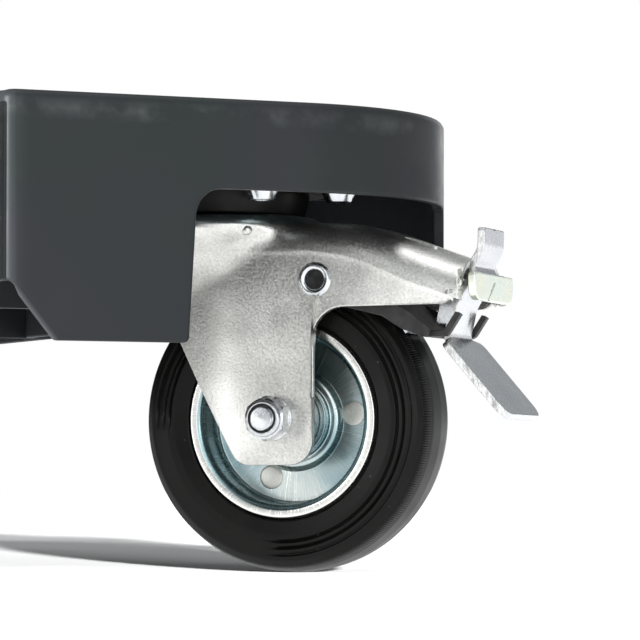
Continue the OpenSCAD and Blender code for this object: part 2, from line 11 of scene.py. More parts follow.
import bmesh
import bpy
import numpy as np
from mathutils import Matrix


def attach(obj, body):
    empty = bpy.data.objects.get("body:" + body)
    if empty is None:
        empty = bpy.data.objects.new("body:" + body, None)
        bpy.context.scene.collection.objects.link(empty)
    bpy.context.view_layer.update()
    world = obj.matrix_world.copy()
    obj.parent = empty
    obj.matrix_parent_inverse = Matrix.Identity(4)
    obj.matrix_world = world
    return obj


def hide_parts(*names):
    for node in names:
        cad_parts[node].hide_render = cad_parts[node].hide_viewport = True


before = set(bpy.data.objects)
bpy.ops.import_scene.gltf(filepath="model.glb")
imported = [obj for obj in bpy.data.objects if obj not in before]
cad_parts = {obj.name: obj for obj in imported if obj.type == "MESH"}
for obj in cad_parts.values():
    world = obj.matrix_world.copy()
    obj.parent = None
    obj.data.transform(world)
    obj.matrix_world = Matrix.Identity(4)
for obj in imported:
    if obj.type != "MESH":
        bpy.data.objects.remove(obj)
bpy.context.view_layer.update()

# The deck, measured from its own middle, and its four corners
MIDDLE_X = 5.784  # the whole object's middle, right of the deck's
SWIVEL = 223.0  # a swivel's axis from the deck's middle, in x and in y
CORNERS = ["front_right", "rear_right", "front_left", "rear_left"]
SIDE = [(1, -1), (1, 1), (-1, -1), (-1, 1)]
HEADING = [-45.0, 45.0, -135.0, 135.0]
BRAKED = [True, True, False, False]
SCREW_X, SCREW_Y = (-27.5, 0.0, 27.5), (-40.0, 40.0)

DECK_HALF = 300.0
DECK_TOP = 149.3
PANEL_LOW = 144.3  # underside of the panel
ROOT_Z = PANEL_LOW + 1.0  # where ribs and bosses end, inside the panel
PAD_Z = 128.0  # lower edge of the ribs round a caster's screws
WALL = 3.8
CORNER_R = 77.0
HOUSE_WALL = 101.9  # a housing's inner walls from its swivel's axis
HOUSE = SWIVEL - HOUSE_WALL
RECESS = 12.0  # how far the sides between two housings stand back
STEP_R = 5.0
EDGE_R = 3.0
TRAY_BORDER = 16.0
TRAY_D = 1.5
TRAY_SLOPE = 1.2
TRAY_R = 53.0
BAR_R, BAR_GAP = 4.0, 24.0
RIB_T = 3.0
RIB_DROP = 22.0
BOSS_R, BOSS_BORE = 7.0, 3.1
FLANK_Z = 72.6
SKIRT_Z = 91.0
WINDOW_Z = 120.8
FLANK_BENDS = (100.9, 85.7, 42.1, 37.4)  # where the skirt's edge bends, left of the swivel
WINDOW_END = -25.0  # degrees round the corner's arc

# A caster, in its own frame
WHEEL_X = 30.0
WHEEL_R = 50.0
AXLE = (WHEEL_X, WHEEL_R)
PLATE_LOW = 125.0
SEAT_Z = 116.5
FORK_HALF = 23.5
FORK_T = 2.5
BELT_R, BELT_Z = 36.9, 113.3  # the widest ring of the fork's crown
CROWN_FILLET = 6.0
CROWN_EYE = (22.0, 108.5)  # (radius, height) inside the crown that its section is seen from
BACK_X, BACK_R = 21.0, 65.0  # behind this x the fork's sides close in on this arc
KNEE = (57.7, 113.3)  # the bend in the top of the fork's arm
CHANNEL_Z = 114.0
FORK_BACK, LEG_BACK, LEG_FRONT = (-18.6, 100.9), (17.8, 35.0), (43.7, 35.0)
ARM_ROOT, ARM_LOW, ARM_END = (43.7, 85.9), (88.5, 86.4), (94.0, 97.5)
SLOT_X = 68.0  # rear end of the slot in the arm's top
SEAM_BEAD = 0.17
PIP, PIP_R = (22.4, -26.9, 111.4), 1.9  # the pip on a braked fork's crown
PIVOT = (87.1, 92.6)
EYELET = (44.6, 95.0)
HOLE_R = 4.9
SPANNER, PITCH = 13.0, 1.25  # of the axle's bolt
LEVER_T = 2.5


# Meshes

def grid(points, close_rows=False, close_cols=False):
    """Vertices and quads of a (rows, columns, 3) array: each quad joins four neighbours,
    and a closed direction joins its last line to its first."""
    rows, cols = points.shape[:2]
    number = np.arange(rows * cols).reshape(rows, cols)
    if close_rows:
        number = np.vstack([number, number[:1]])
    if close_cols:
        number = np.hstack([number, number[:, :1]])
    quads = np.stack([number[:-1, :-1], number[1:, :-1], number[1:, 1:], number[:-1, 1:]], -1)
    return points.reshape(-1, 3), [tuple(q) for q in quads.reshape(-1, 4).tolist()]


def join(*parts):
    """One list of vertices and faces from several, each part's numbers moved up."""
    points, faces, start = [], [], 0
    for p, f in parts:
        points.append(p)
        faces += [tuple(i + start for i in face) for face in f]
        start += len(p)
    return np.vstack(points), faces


def without(part, inside):
    """The part less the faces whose corners all lie where inside(points) is true."""
    points, faces = part
    hit = inside(points)
    return points, [f for f in faces if not all(hit[i] for i in f)]


def side_faces(part):
    """1 for each face that looks mostly along y, 0 for the others: the cut edges of a
    sheet that is bent in x and z. A face's direction is the cross product of its diagonals."""
    points, faces = part
    corners = np.array([(f[0], f[1], f[2], f[3 % len(f)]) for f in faces])
    first, second, third, fourth = (points[corners[:, k]] for k in range(4))
    d = np.cross(third - first, fourth - second)
    return (np.abs(d[:, 1]) > 0.6 * np.linalg.norm(d, axis=1)).astype(int)


def mirrored(part):
    """The part and its mirror image across the caster's middle plane, as one."""
    return join(part, (part[0] * np.array([1, -1, 1]), part[1]))


def caster_frame(points, i):
    """Caster coordinates turned by the heading of caster i and moved to its corner."""
    a = math.radians(HEADING[i])
    x, y, z = points[:, 0], points[:, 1], points[:, 2]
    return np.stack([SIDE[i][0] * SWIVEL - MIDDLE_X + x * math.cos(a) - y * math.sin(a),
                     SIDE[i][1] * SWIVEL + x * math.sin(a) + y * math.cos(a), z], 1)


def put(name, part, body, nodes, slot, materials, pattern=None, cut=None, sharp=40.0):
    """A finished piece: millimetres become metres, doubles merge, and the faces turn
    outwards, which is where the volume they enclose comes out positive.

    pattern is an optional array of (u, v) per vertex for finishes that follow the surface.
    cut is an optional array with the number of each face's material."""
    points, faces = part
    mesh = bpy.data.meshes.new(name)
    mesh.from_pydata((points / 1000.0).tolist(), [], faces)
    for material in materials:
        mesh.materials.append(material)
    if cut is not None:
        mesh.polygons.foreach_set("material_index", cut.astype(np.int32))
    if pattern is not None:
        layer = mesh.uv_layers.new(name="pattern")
        corners = np.zeros(len(mesh.loops), np.int32)
        mesh.loops.foreach_get("vertex_index", corners)
        layer.data.foreach_set("uv", pattern[corners].astype(np.float32).ravel())
    work = bmesh.new()
    work.from_mesh(mesh)
    bmesh.ops.remove_doubles(work, verts=work.verts, dist=2e-6)
    bmesh.ops.dissolve_degenerate(work, edges=work.edges, dist=1e-7)
    bmesh.ops.recalc_face_normals(work, faces=work.faces)
    if work.calc_volume(signed=True) < 0:
        bmesh.ops.reverse_faces(work, faces=work.faces)
    for face in work.faces:
        face.smooth = True
    work.to_mesh(mesh)
    work.free()
    mesh.set_sharp_from_angle(angle=math.radians(sharp))
    piece = bpy.data.objects.new(name, mesh)
    bpy.context.scene.collection.objects.link(piece)
    weighted = piece.modifiers.new("even shading", "WEIGHTED_NORMAL")
    weighted.keep_sharp = True
    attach(piece, body)
    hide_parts(*nodes)


def caster_piece(i, name, part, body, node, slot, *materials, **more):
    """A piece of caster i, drawn in the caster's own frame, on one of its bodies or on the
    deck, in place of one of its nodes."""
    own = CORNERS[i] + "_"
    part = (caster_frame(part[0], i), part[1])
    put(own + name, part, body if body == "deck" else own + body, [own + node], slot, materials, **more)


def deck_piece(name, part, **more):
    """A piece of the deck's moulding, measured from the deck's own middle."""
    part = (part[0] - np.array([MIDDLE_X, 0.0, 0.0]), part[1])
    put(name, part, "deck", ["deck"], "deck_plastic", [PLASTIC], **more)


# Outlines and profiles

def rounded(corners, steps):
    """Points of a polygon whose corners (x, y, radius) are turned into arcs: each arc's
    middle lies on the bisector, radius / sin(half angle) from the corner."""
    points = []
    n = len(corners)
    for k, (x, y, r) in enumerate(corners):
        b = np.array([x, y])
        if r == 0:
            points.append(b[None])
            continue
        a, c = np.array(corners[k - 1][:2]), np.array(corners[(k + 1) % n][:2])
        u, v = (a - b) / np.linalg.norm(a - b), (c - b) / np.linalg.norm(c - b)
        half = math.acos(np.clip(u @ v, -1, 1)) / 2
        m = b + (u + v) / np.linalg.norm(u + v) * r / math.sin(half)
        s, e = b + u * r / math.tan(half) - m, b + v * r / math.tan(half) - m
        a0 = math.atan2(s[1], s[0])
        turn = (math.atan2(e[1], e[0]) - a0 + math.pi) % (2 * math.pi) - math.pi
        t = a0 + turn * np.linspace(0, 1, steps + 1)
        points.append(m + r * np.stack([np.cos(t), np.sin(t)], 1))
    return np.vstack(points)


def rounded_path(corners, steps):
    """An open path with rounded inner corners, by the same arcs."""
    ends = [corners[0][:2], corners[-1][:2]]
    inner = [(x, y, max(r, 1e-3)) for x, y, r in corners[1:-1]]
    loop = [(*ends[0], 0)] + inner + [(*ends[1], 0)]
    return rounded(loop, steps)


def spaced(path, step):
    """The same open path with points about every step, all its corners kept."""
    length = np.linalg.norm(np.diff(path, axis=0), axis=1)
    parts = [path[:1]]
    for a, b, d in zip(path[:-1], path[1:], length):
        n = max(1, int(math.ceil(d / step)))
        parts.append(a + (b - a) * np.linspace(0, 1, n + 1)[1:, None])
    return np.vstack(parts)


def along(path):
    """Distance along the path up to each point."""
    return np.concatenate([[0], np.cumsum(np.linalg.norm(np.diff(path, axis=0), axis=1))])


def left_of(path):
    """Unit normals to the left of a path in its plane, from central differences."""
    t = np.gradient(path, axis=0)
    t /= np.linalg.norm(t, axis=1)[:, None] + 1e-12
    return np.stack([-t[:, 1], t[:, 0]], 1)


def band(path, thickness, steps=3):
    """Closed outline of a strip of sheet along the path, its two ends rounded a little."""
    n = left_of(path)
    t = path[-1] - path[-2]
    t /= np.linalg.norm(t)
    s = path[0] - path[1]
    s /= np.linalg.norm(s)
    h, r = thickness / 2, min(0.35, thickness / 3)
    a = np.linspace(0, math.pi / 2, steps + 1)[:, None]
    end = np.vstack([path[-1] + n[-1] * (h - r + r * np.cos(a)) + t * r * (np.sin(a) - 1),
                     path[-1] - n[-1] * (h - r + r * np.sin(a)) + t * r * (np.cos(a) - 1)])
    start = np.vstack([path[0] - n[0] * (h - r + r * np.cos(a)) + s * r * (np.sin(a) - 1),
                       path[0] + n[0] * (h - r + r * np.sin(a)) + s * r * (np.cos(a) - 1)])
    return np.vstack([(path + n * h)[1:-1], end, (path - n * h)[1:-1][::-1], start])


def turned(profile, centre, steps=96, closed=True):
    """A profile of (radius, y) turned round the level axis through centre = (x, z)."""
    a = np.radians(360.0 * np.linspace(0, 1, steps + 1)[:steps])
    r, y = profile[:, 0], profile[:, 1]
    points = np.stack([centre[0] + np.outer(np.cos(a), r), np.tile(y, (steps, 1)),
                       centre[1] + np.outer(np.sin(a), r)], -1)
    return grid(points, close_rows=True, close_cols=closed)


def upright(profile, steps, centre=(0.0, 0.0)):
    """A closed profile of (radius, z) turned round the upright axis through centre = (x, y)."""
    a = np.radians(360.0 * np.linspace(0, 1, steps + 1)[:steps])
    r, z = profile[:, 0], profile[:, 1]
    points = np.stack([centre[0] + np.outer(np.cos(a), r), centre[1] + np.outer(np.sin(a), r),
                       np.tile(z, (steps, 1))], -1)
    return grid(points, close_rows=True, close_cols=True)


def hexed(rows, across_flats, centre, steps=96):
    """A hexagon whose radius is also limited row by row: the radius is the lesser of the
    hexagon's own, flats / 2 / cos(angle from the nearest flat), eased by 0.12 mm at its
    corners, and the row's (y, radius)."""
    a = np.linspace(0, 2 * math.pi, steps + 1)[:-1]
    six = across_flats / 2 / np.cos((a + math.pi / 6) % (math.pi / 3) - math.pi / 6)
    y, limit = np.array(rows, float).T
    r = np.minimum(six[:, None] - 0.12 * (six[:, None] > across_flats * 0.57), limit[None])
    points = np.stack([centre[0] + np.cos(a)[:, None] * r, np.tile(y, (steps, 1)),
                       centre[1] + np.sin(a)[:, None] * r], -1)
    return grid(points, close_rows=True)


def slab(outline, y0, y1, soft, steps=3):
    """A flat plate from an outline in x and z, between y0 and y1, with rounded rims."""
    loop = np.vstack([outline, outline[:1]])
    keep = np.linalg.norm(np.diff(loop, axis=0), axis=1) > 1e-6
    p = outline[keep]
    ring = np.vstack([p[-1:], p, p[:1]])
    t0, t1 = ring[1:-1] - ring[:-2], ring[2:] - ring[1:-1]
    t0 /= np.linalg.norm(t0, axis=1)[:, None]
    t1 /= np.linalg.norm(t1, axis=1)[:, None]
    n = np.stack([(t0 + t1)[:, 1], -(t0 + t1)[:, 0]], 1)
    n /= np.maximum(np.sum(n * np.stack([t0[:, 1], -t0[:, 0]], 1), axis=1), 0.3)[:, None]
    area = np.sum(p[:, 0] * np.roll(p[:, 1], -1) - p[:, 1] * np.roll(p[:, 0], -1))
    n *= 1 if area > 0 else -1
    a = np.linspace(0, math.pi / 2, steps + 1)
    inset = np.concatenate([soft * (1 - np.sin(a)), soft * (1 - np.cos(a))])
    y = np.concatenate([y0 + soft * (1 - np.cos(a)), y1 - soft * (1 - np.sin(a))])
    flat = p[:, None] - n[:, None] * inset[None, :, None]
    points = np.stack([flat[..., 0], np.tile(y, (len(p), 1)), flat[..., 1]], -1)
    side = grid(points, close_rows=True)
    cols = len(y)
    first = tuple(int(k) * cols for k in range(len(p)))
    last = tuple(int(k) * cols + cols - 1 for k in range(len(p)))
    return side[0], side[1] + [first, last]


def sheet(surface, thickness, outward, soft=0.35, steps=3, lift=0.5):
    """A closed plate from a (rows, columns, 3) surface: an outer face a share lift of the
    thickness along its normals, an inner face the rest behind, and a rim round all four
    borders whose section is a rectangle with corners of radius soft."""
    du, dv = np.gradient(surface, axis=0), np.gradient(surface, axis=1)
    n = np.cross(du, dv)
    size = np.linalg.norm(n, axis=-1)[..., None]
    n = n / np.maximum(size, 1e-9)
    n *= 1.0 if np.sum(n * outward) > 0 else -1.0
    front, back = lift * thickness, (1 - lift) * thickness
    rows, cols = surface.shape[:2]
    number = np.arange(rows * cols).reshape(rows, cols)
    loop = np.concatenate([number[0, :-1], number[:-1, -1], number[-1, :0:-1], number[:0:-1, 0]])
    flat, normal = surface.reshape(-1, 3), n.reshape(-1, 3)
    p, m = flat[loop], normal[loop]
    t = np.roll(p, -1, 0) - np.roll(p, 1, 0)
    out = np.cross(t, m)
    out /= np.maximum(np.linalg.norm(out, axis=1), 1e-9)[:, None]
    near = surface.copy()
    near[0], near[-1] = surface[1], surface[-2]
    near[:, 0], near[:, -1] = near[:, 1], near[:, -2]
    inward = near.reshape(-1, 3)[loop] - p
    sign = np.where(np.sum(out * inward, axis=1) > 0, -1.0, 1.0)
    out *= sign[:, None]
    a = np.linspace(math.pi / 2, 0, steps + 1)
    across = np.concatenate([soft * (np.cos(a) - 1), soft * (np.cos(a[::-1]) - 1)])
    height = np.concatenate([front - soft + soft * np.sin(a),
                             -(back - soft + soft * np.sin(a[::-1]))])
    rim = p[:, None] + out[:, None] * across[None, :, None] + m[:, None] * height[None, :, None]
    flat_out, flat_in = flat + normal * front, flat - normal * back
    flat_out[loop], flat_in[loop] = rim[:, 0], rim[:, -1]
    return join(grid(flat_out.reshape(rows, cols, 3)), grid(flat_in.reshape(rows, cols, 3)),
                grid(rim, close_rows=True))


def ribbon(path, edge, thickness, cols, dent=None):
    """A sheet across the fork's middle plane: its section follows the path in x and z, and
    edge = rows of (distance along the path, half width) gives its outline. dent(distance, y)
    is an optional height that is added along its normals."""
    s = along(path)
    x, z = np.interp(edge[:, 0], s, path[:, 0]), np.interp(edge[:, 0], s, path[:, 1])
    across = np.linspace(-1, 1, cols)
    y = edge[:, 1][:, None] * across
    surface = np.stack([np.tile(x[:, None], cols), y, np.tile(z[:, None], cols)], -1)
    n = left_of(path)
    nx, nz = np.interp(edge[:, 0], s, n[:, 0]), np.interp(edge[:, 0], s, n[:, 1])
    outward = np.stack([nx, np.zeros_like(nx), nz], 1)[:, None] * np.ones((1, cols, 1))
    if dent is not None:
        surface = surface + outward * dent(edge[:, 0][:, None], y)[..., None]
    return sheet(surface, thickness, outward)


# Finishes

def added(tree, kind, **values):
    """A new node of that kind, with constant values on the sockets named."""
    node = tree.nodes.new("ShaderNode" + kind)
    for socket, value in values.items():
        node.inputs[socket.replace("_", " ")].default_value = value
    return node


def link(value, node, socket):
    """Joins a value to one input of a node, by the input's name or number."""
    node.id_data.links.new(value, node.inputs[socket])


def finish(name, colour, metallic, roughness, **values):
    """A new material, its node tree and its Principled shader with the values given."""
    material = bpy.data.materials.new(name)
    material.use_nodes = True
    tree = material.node_tree
    shader = tree.nodes["Principled BSDF"]
    shader.inputs["Base Color"].default_value = (*colour, 1)
    shader.inputs["Metallic"].default_value = metallic
    shader.inputs["Roughness"].default_value = roughness
    for socket, value in values.items():
        shader.inputs[socket.replace("_", " ")].default_value = value
    material.diffuse_color = (*colour, 1)
    return material, tree, shader


def place(tree, scale=(1, 1, 1), layer=None):
    """Object coordinates, or the piece's own pattern coordinates, through a Mapping node."""
    mapping = added(tree, "Mapping", Scale=scale)
    if layer:
        source = added(tree, "UVMap")
        source.uv_map = layer
        link(source.outputs["UV"], mapping, "Vector")
    else:
        link(added(tree, "TexCoord").outputs["Object"], mapping, "Vector")
    return mapping.outputs["Vector"]


def split(where):
    """The x, y and z of a place, as three sockets."""
    node = added(where.id_data, "SeparateXYZ")
    link(where, node, "Vector")
    return node.outputs


def noise(where, scale, detail, rough=0.5):
    """Noise at so many features per metre, or per unit of the pattern."""
    node = added(where.id_data, "TexNoise", Scale=scale, Detail=detail, Roughness=rough)
    link(where, node, "Vector")
    return node.outputs["Fac"]


def spread(value, low, high, from_low=0.3, from_high=0.7):
    """A value moved from one range to another and held inside it."""
    node = added(value.id_data, "MapRange", From_Min=from_low, From_Max=from_high,
                 To_Min=low, To_Max=high)
    link(value, node, "Value")
    return node.outputs["Result"]


def between(value, foot, top, end, out):
    """1 where a value lies between top and end, falling to 0 at foot and at out."""
    return maths("MULTIPLY", spread(value, 0.0, 1.0, foot, top), spread(value, 1.0, 0.0, end, out))


def shades(value, stops):
    """A colour for each value, from (position, colour) stops."""
    node = added(value.id_data, "ValToRGB")
    ramp = node.color_ramp
    ramp.elements[0].position, ramp.elements[0].color = stops[0][0], (*stops[0][1], 1)
    ramp.elements[1].position, ramp.elements[1].color = stops[-1][0], (*stops[-1][1], 1)
    for position, colour in stops[1:-1]:
        ramp.elements.new(position).color = (*colour, 1)
    link(value, node, "Fac")
    return node.outputs["Color"]


def maths(kind, first, *others):
    """One arithmetic step on a socket and other sockets or numbers."""
    node = added(first.id_data, "Math")
    node.operation = kind
    link(first, node, 0)
    for k, value in enumerate(others, 1):
        if isinstance(value, float):
            node.inputs[k].default_value = value
        else:
            link(value, node, k)
    return node.outputs["Value"]


def mixed(share, start, colour):
    """A colour socket turned into the colour given by the share."""
    node = added(share.id_data, "Mix")
    node.data_type = "RGBA"
    link(share, node, 0)
    link(start, node, 6)
    node.inputs[7].default_value = (*colour, 1)
    return node.outputs[2]


def relief(shader, height, depth, strength=1.0, below=None):
    """Bump of the given depth in metres, laid over an earlier bump if there is one."""
    node = added(shader.id_data, "Bump", Distance=depth, Strength=strength)
    link(height, node, "Height")
    if below is not None:
        link(below, node, "Normal")
    link(node.outputs["Normal"], shader, "Normal")
    return node.outputs["Normal"]


def zinc(name, colour, dark, grain, rough, depth, cloud, blue_top=False):
    """Plated sheet: a fine speckled grain in roughness and height, with slow cloudy change
    of colour between the two shades given, and, if asked, a darker, bluer colour above a
    height of 112.5 mm, near the seat."""
    material, tree, shader = finish(name, colour, 1.0, rough[0])
    where = place(tree)
    fine = noise(where, grain, 2.0, 0.6)
    both = maths("MULTIPLY_ADD", fine, 0.6, noise(where, cloud, 2.0))
    tint = shades(spread(both, 0, 1, 0.55, 1.05), [(0, dark), (1, colour)])
    # Darker and bluer above a height of 112.5 mm, near the seat
    if blue_top:
        high = spread(split(where)["Z"], 0.0, 0.75, 0.1125, 0.1145)
        tint = mixed(high, tint, (0.50, 0.66, 0.68))
    link(tint, shader, "Base Color")
    link(spread(fine, *rough), shader, "Roughness")
    relief(shader, fine, depth)
    return material


def sheared(name, colour):
    """A cut edge of plated sheet, with short torn lines through its thickness; its colour is paler than the
    lever's zinc, a painted glint along the edges.
    """
    material, tree, shader = finish(name, colour, 1.0, 0.35)
    torn = noise(place(tree, (1, 1, 0.3)), 700.0, 4.0, 0.7)
    dark = tuple(c * 0.45 for c in colour)
    link(shades(torn, [(0.35, dark), (0.6, colour)]), shader, "Base Color")
    link(spread(torn, 0.25, 0.6), shader, "Roughness")
    relief(shader, torn, 1.2e-4)
    return material


def brushed_rim():
    """Blue-white zinc on the pressed wheel: fine lines that run out from the hub and a
    cloudy tint on the disc. Past a radius of 28 mm the drum is painted a darker teal, which is
    painted shade and reflection. Past 29.7 mm the lip is painted a paler neutral, which is a
    painted highlight. The pattern is (share of a half turn, distance from the axle in cm)."""
    material, tree, shader = finish("blue_zinc_rim_painted_light", (0.62, 0.70, 0.71), 1.0, 0.3)
    lines = noise(place(tree, (260.0, 0.12, 1.0), "pattern"), 1.0, 3.0, 0.6)
    slow = noise(place(tree), 55.0, 2.0)
    tint = shades(slow, [(0.3, (0.28, 0.40, 0.43)), (0.5, (0.47, 0.57, 0.58)),
                         (0.72, (0.70, 0.74, 0.71))])
    tint = mixed(spread(lines, 0.0, 0.35), tint, (0.22, 0.32, 0.35))
    radius = split(place(tree, (1.0, 0.25, 1.0), "pattern"))["Y"]
    # Painted shade and reflection: the drum is coloured a darker teal
    tint = mixed(spread(radius, 0.0, 0.75, 0.685, 0.705), tint, (0.24, 0.38, 0.41))
    # Painted highlight: the rolled lip is coloured a paler neutral
    tint = mixed(spread(radius, 0.0, 1.0, 0.738, 0.748), tint, (0.80, 0.80, 0.77))
    link(tint, shader, "Base Color")
    link(spread(lines, 0.16, 0.3), shader, "Roughness")
    relief(shader, lines, 3e-5)
    return material


def rubber():
    """Black rubber: a dull skin with slight clouding, fine pits and pale dust specks, and
    190 fine notches per half turn between radii of 47.8 and 49.2 mm. The pattern is
    (share of a half turn, distance from the axle in cm)."""
    material, tree, shader = finish("tyre_rubber", (0.004, 0.004, 0.004), 0.0, 0.42,
                                    Specular_IOR_Level=0.16)
    where = place(tree)
    cloud = noise(where, 60.0, 3.0)
    dust = spread(noise(where, 520.0, 1.0, 0.2), 0.0, 0.4, 0.79, 0.82)
    base = shades(cloud, [(0.3, (0.0025, 0.0025, 0.0022)), (0.75, (0.005, 0.005, 0.0045))])
    link(mixed(dust, base, (0.12, 0.12, 0.12)), shader, "Base Color")
    link(spread(cloud, 0.3, 0.42), shader, "Roughness")
    turn, radius, _ = split(place(tree, (190.0, 1.0, 1.0), "pattern"))
    notch = spread(maths("PINGPONG", turn, 0.5), 0.0, 1.0, 0.12, 0.3)
    notches = maths("MULTIPLY", notch, between(radius, 4.76, 4.80, 4.90, 4.94))
    below = relief(shader, notches, 2.5e-4)
    relief(shader, noise(where, 1600.0, 2.0), 1.5e-5, below=below)
    return material


def moulded_plastic():
    """Slate-grey moulding: a mottled skin, fine pits, and a paler rubbed line below the top
    edge, which wanders with the mottling."""
    material, tree, shader = finish("slate_plastic", (0.026, 0.030, 0.031), 0.0, 0.42,
                                    Specular_IOR_Level=0.14)
    where = place(tree)
    slow = noise(where, 9.0, 3.0, 0.6)
    blots = noise(where, 55.0, 4.0, 0.65)
    height = maths("MULTIPLY_ADD", blots, 0.006, split(where)["Z"])
    rubbed = maths("MULTIPLY", between(height, 0.1435, 0.1470, 0.1480, 0.1510),
                   spread(blots, 0.0, 0.3, 0.45, 0.75))
    base = shades(slow, [(0.3, (0.021, 0.028, 0.027)), (0.5, (0.026, 0.028, 0.032)),
                         (0.7, (0.031, 0.036, 0.034))])
    link(mixed(rubbed, base, (0.17, 0.18, 0.18)), shader, "Base Color")
    link(spread(blots, 0.36, 0.5), shader, "Roughness")
    below = relief(shader, blots, 1.2e-4, 0.5)
    relief(shader, noise(where, 2600.0, 2.0), 1.5e-5, below=below)
    return material


def dull(name, colour, other, rough, scale):
    """A plain dark finish whose colour and gloss drift between two shades."""
    material, tree, shader = finish(name, colour, 0.0, rough, Specular_IOR_Level=0.2)
    drift = noise(place(tree), scale, 4.0, 0.6)
    link(shades(drift, [(0.3, colour), (0.7, other)]), shader, "Base Color")
    link(spread(drift, rough - 0.08, rough + 0.1), shader, "Roughness")
    relief(shader, drift, 4e-5)
    return material


PLASTIC = moulded_plastic()
RUBBER = rubber()
RIM = brushed_rim()
FORK_ZINC = zinc("fork_zinc", (0.84, 0.84, 0.81), (0.38, 0.38, 0.36),
                 grain=1300.0, rough=(0.3, 0.44), depth=7e-5, cloud=40.0, blue_top=True)
# Painted highlight: the cross plate's zinc is paler than the rest of the lever's, standing in for the light
# on its ears; its green-yellow tint is the passivation's own
PASSIVATED_PAINTED_HIGHLIGHT = zinc("passivated_zinc_painted_highlight", (0.88, 0.98, 0.93), (0.97, 0.97, 0.80),
                  grain=500.0, rough=(0.26, 0.36), depth=1e-5, cloud=90.0)
LEVER_ZINC = zinc("lever_zinc", (0.74, 0.76, 0.78), (0.56, 0.57, 0.60),
                  grain=500.0, rough=(0.22, 0.34), depth=1e-5, cloud=25.0)
CUT_ZINC_PAINTED_GLINT = sheared("cut_zinc_painted_glint", (0.82, 0.83, 0.82))
BOLT_ZINC = zinc("bolt_zinc", (0.80, 0.82, 0.83), (0.55, 0.57, 0.60),
                 grain=900.0, rough=(0.16, 0.28), depth=8e-6, cloud=90.0)
RIVET_STEEL = zinc("rivet_steel", (0.70, 0.71, 0.67), (0.48, 0.48, 0.45),
                   grain=1400.0, rough=(0.34, 0.5), depth=1e-5, cloud=120.0)
TURNED_STEEL = zinc("turned_steel", (0.60, 0.61, 0.61), (0.42, 0.43, 0.43),
                    grain=900.0, rough=(0.25, 0.4), depth=8e-6, cloud=90.0)
# Painted shade: the caster's top plate is coloured near-black to match how dark it looks in the shade under
# the deck
PLATE_PAINTED_SHADE = dull("plate_black", (0.012, 0.012, 0.012), (0.006, 0.006, 0.006), 0.6, 200.0)
SPRING_BLACK = dull("spring_black", (0.020, 0.020, 0.020), (0.045, 0.045, 0.045), 0.42, 260.0)
RING_BLACK = dull("ring_black", (0.007, 0.005, 0.0045), (0.003, 0.0025, 0.0025), 0.42, 90.0)
NYLON_BLACK = dull("nylon_black", (0.012, 0.012, 0.013), (0.02, 0.02, 0.02), 0.45, 500.0)


# Deck

def plan_quarter(d):
    """The front right quarter of the deck's plan, moved in by d: from the middle of the
    front side round the corner to the middle of the right side, always the same count."""
    h, b = DECK_HALF - d, HOUSE + d
    step, inner, r = max(STEP_R - d, 1.0), STEP_R + d, CORNER_R - d
    loop = [(0.0, -h + RECESS, 0), (b, -h + RECESS, inner), (b, -h, step), (h, -h, r), (h, -b, step),
            (h - RECESS, -b, inner), (h - RECESS, 0.0, 0), (0.0, 0.0, 0)]
    return rounded(loop, 16)[:-1]


def flank_edge(s_of):
    """The skirt's lower edge as (distance along the plan, height): general skirt, slanting
    cut down to the flank, window with a rounded upper corner, and skirt again. s_of(x, y)
    gives the distance along the plan at a point."""
    high, low, foot, jamb = (s_of(SWIVEL - x, -DECK_HALF) for x in FLANK_BENDS)
    a = math.radians(WINDOW_END)
    end = s_of(SWIVEL + CORNER_R * math.cos(a), -SWIVEL + CORNER_R * math.sin(a))
    total = s_of(DECK_HALF - RECESS, 0.0)
    path = rounded_path([(0.0, SKIRT_Z, 0), (high, SKIRT_Z, 6), (low, FLANK_Z, 2), (foot, FLANK_Z, 1.6),
                         (jamb, WINDOW_Z, 9), (end - 0.2, WINDOW_Z, 2), (end + 0.2, SKIRT_Z, 1.5),
                         (total, SKIRT_Z, 0)], 6)
    return spaced(path, 4.0)


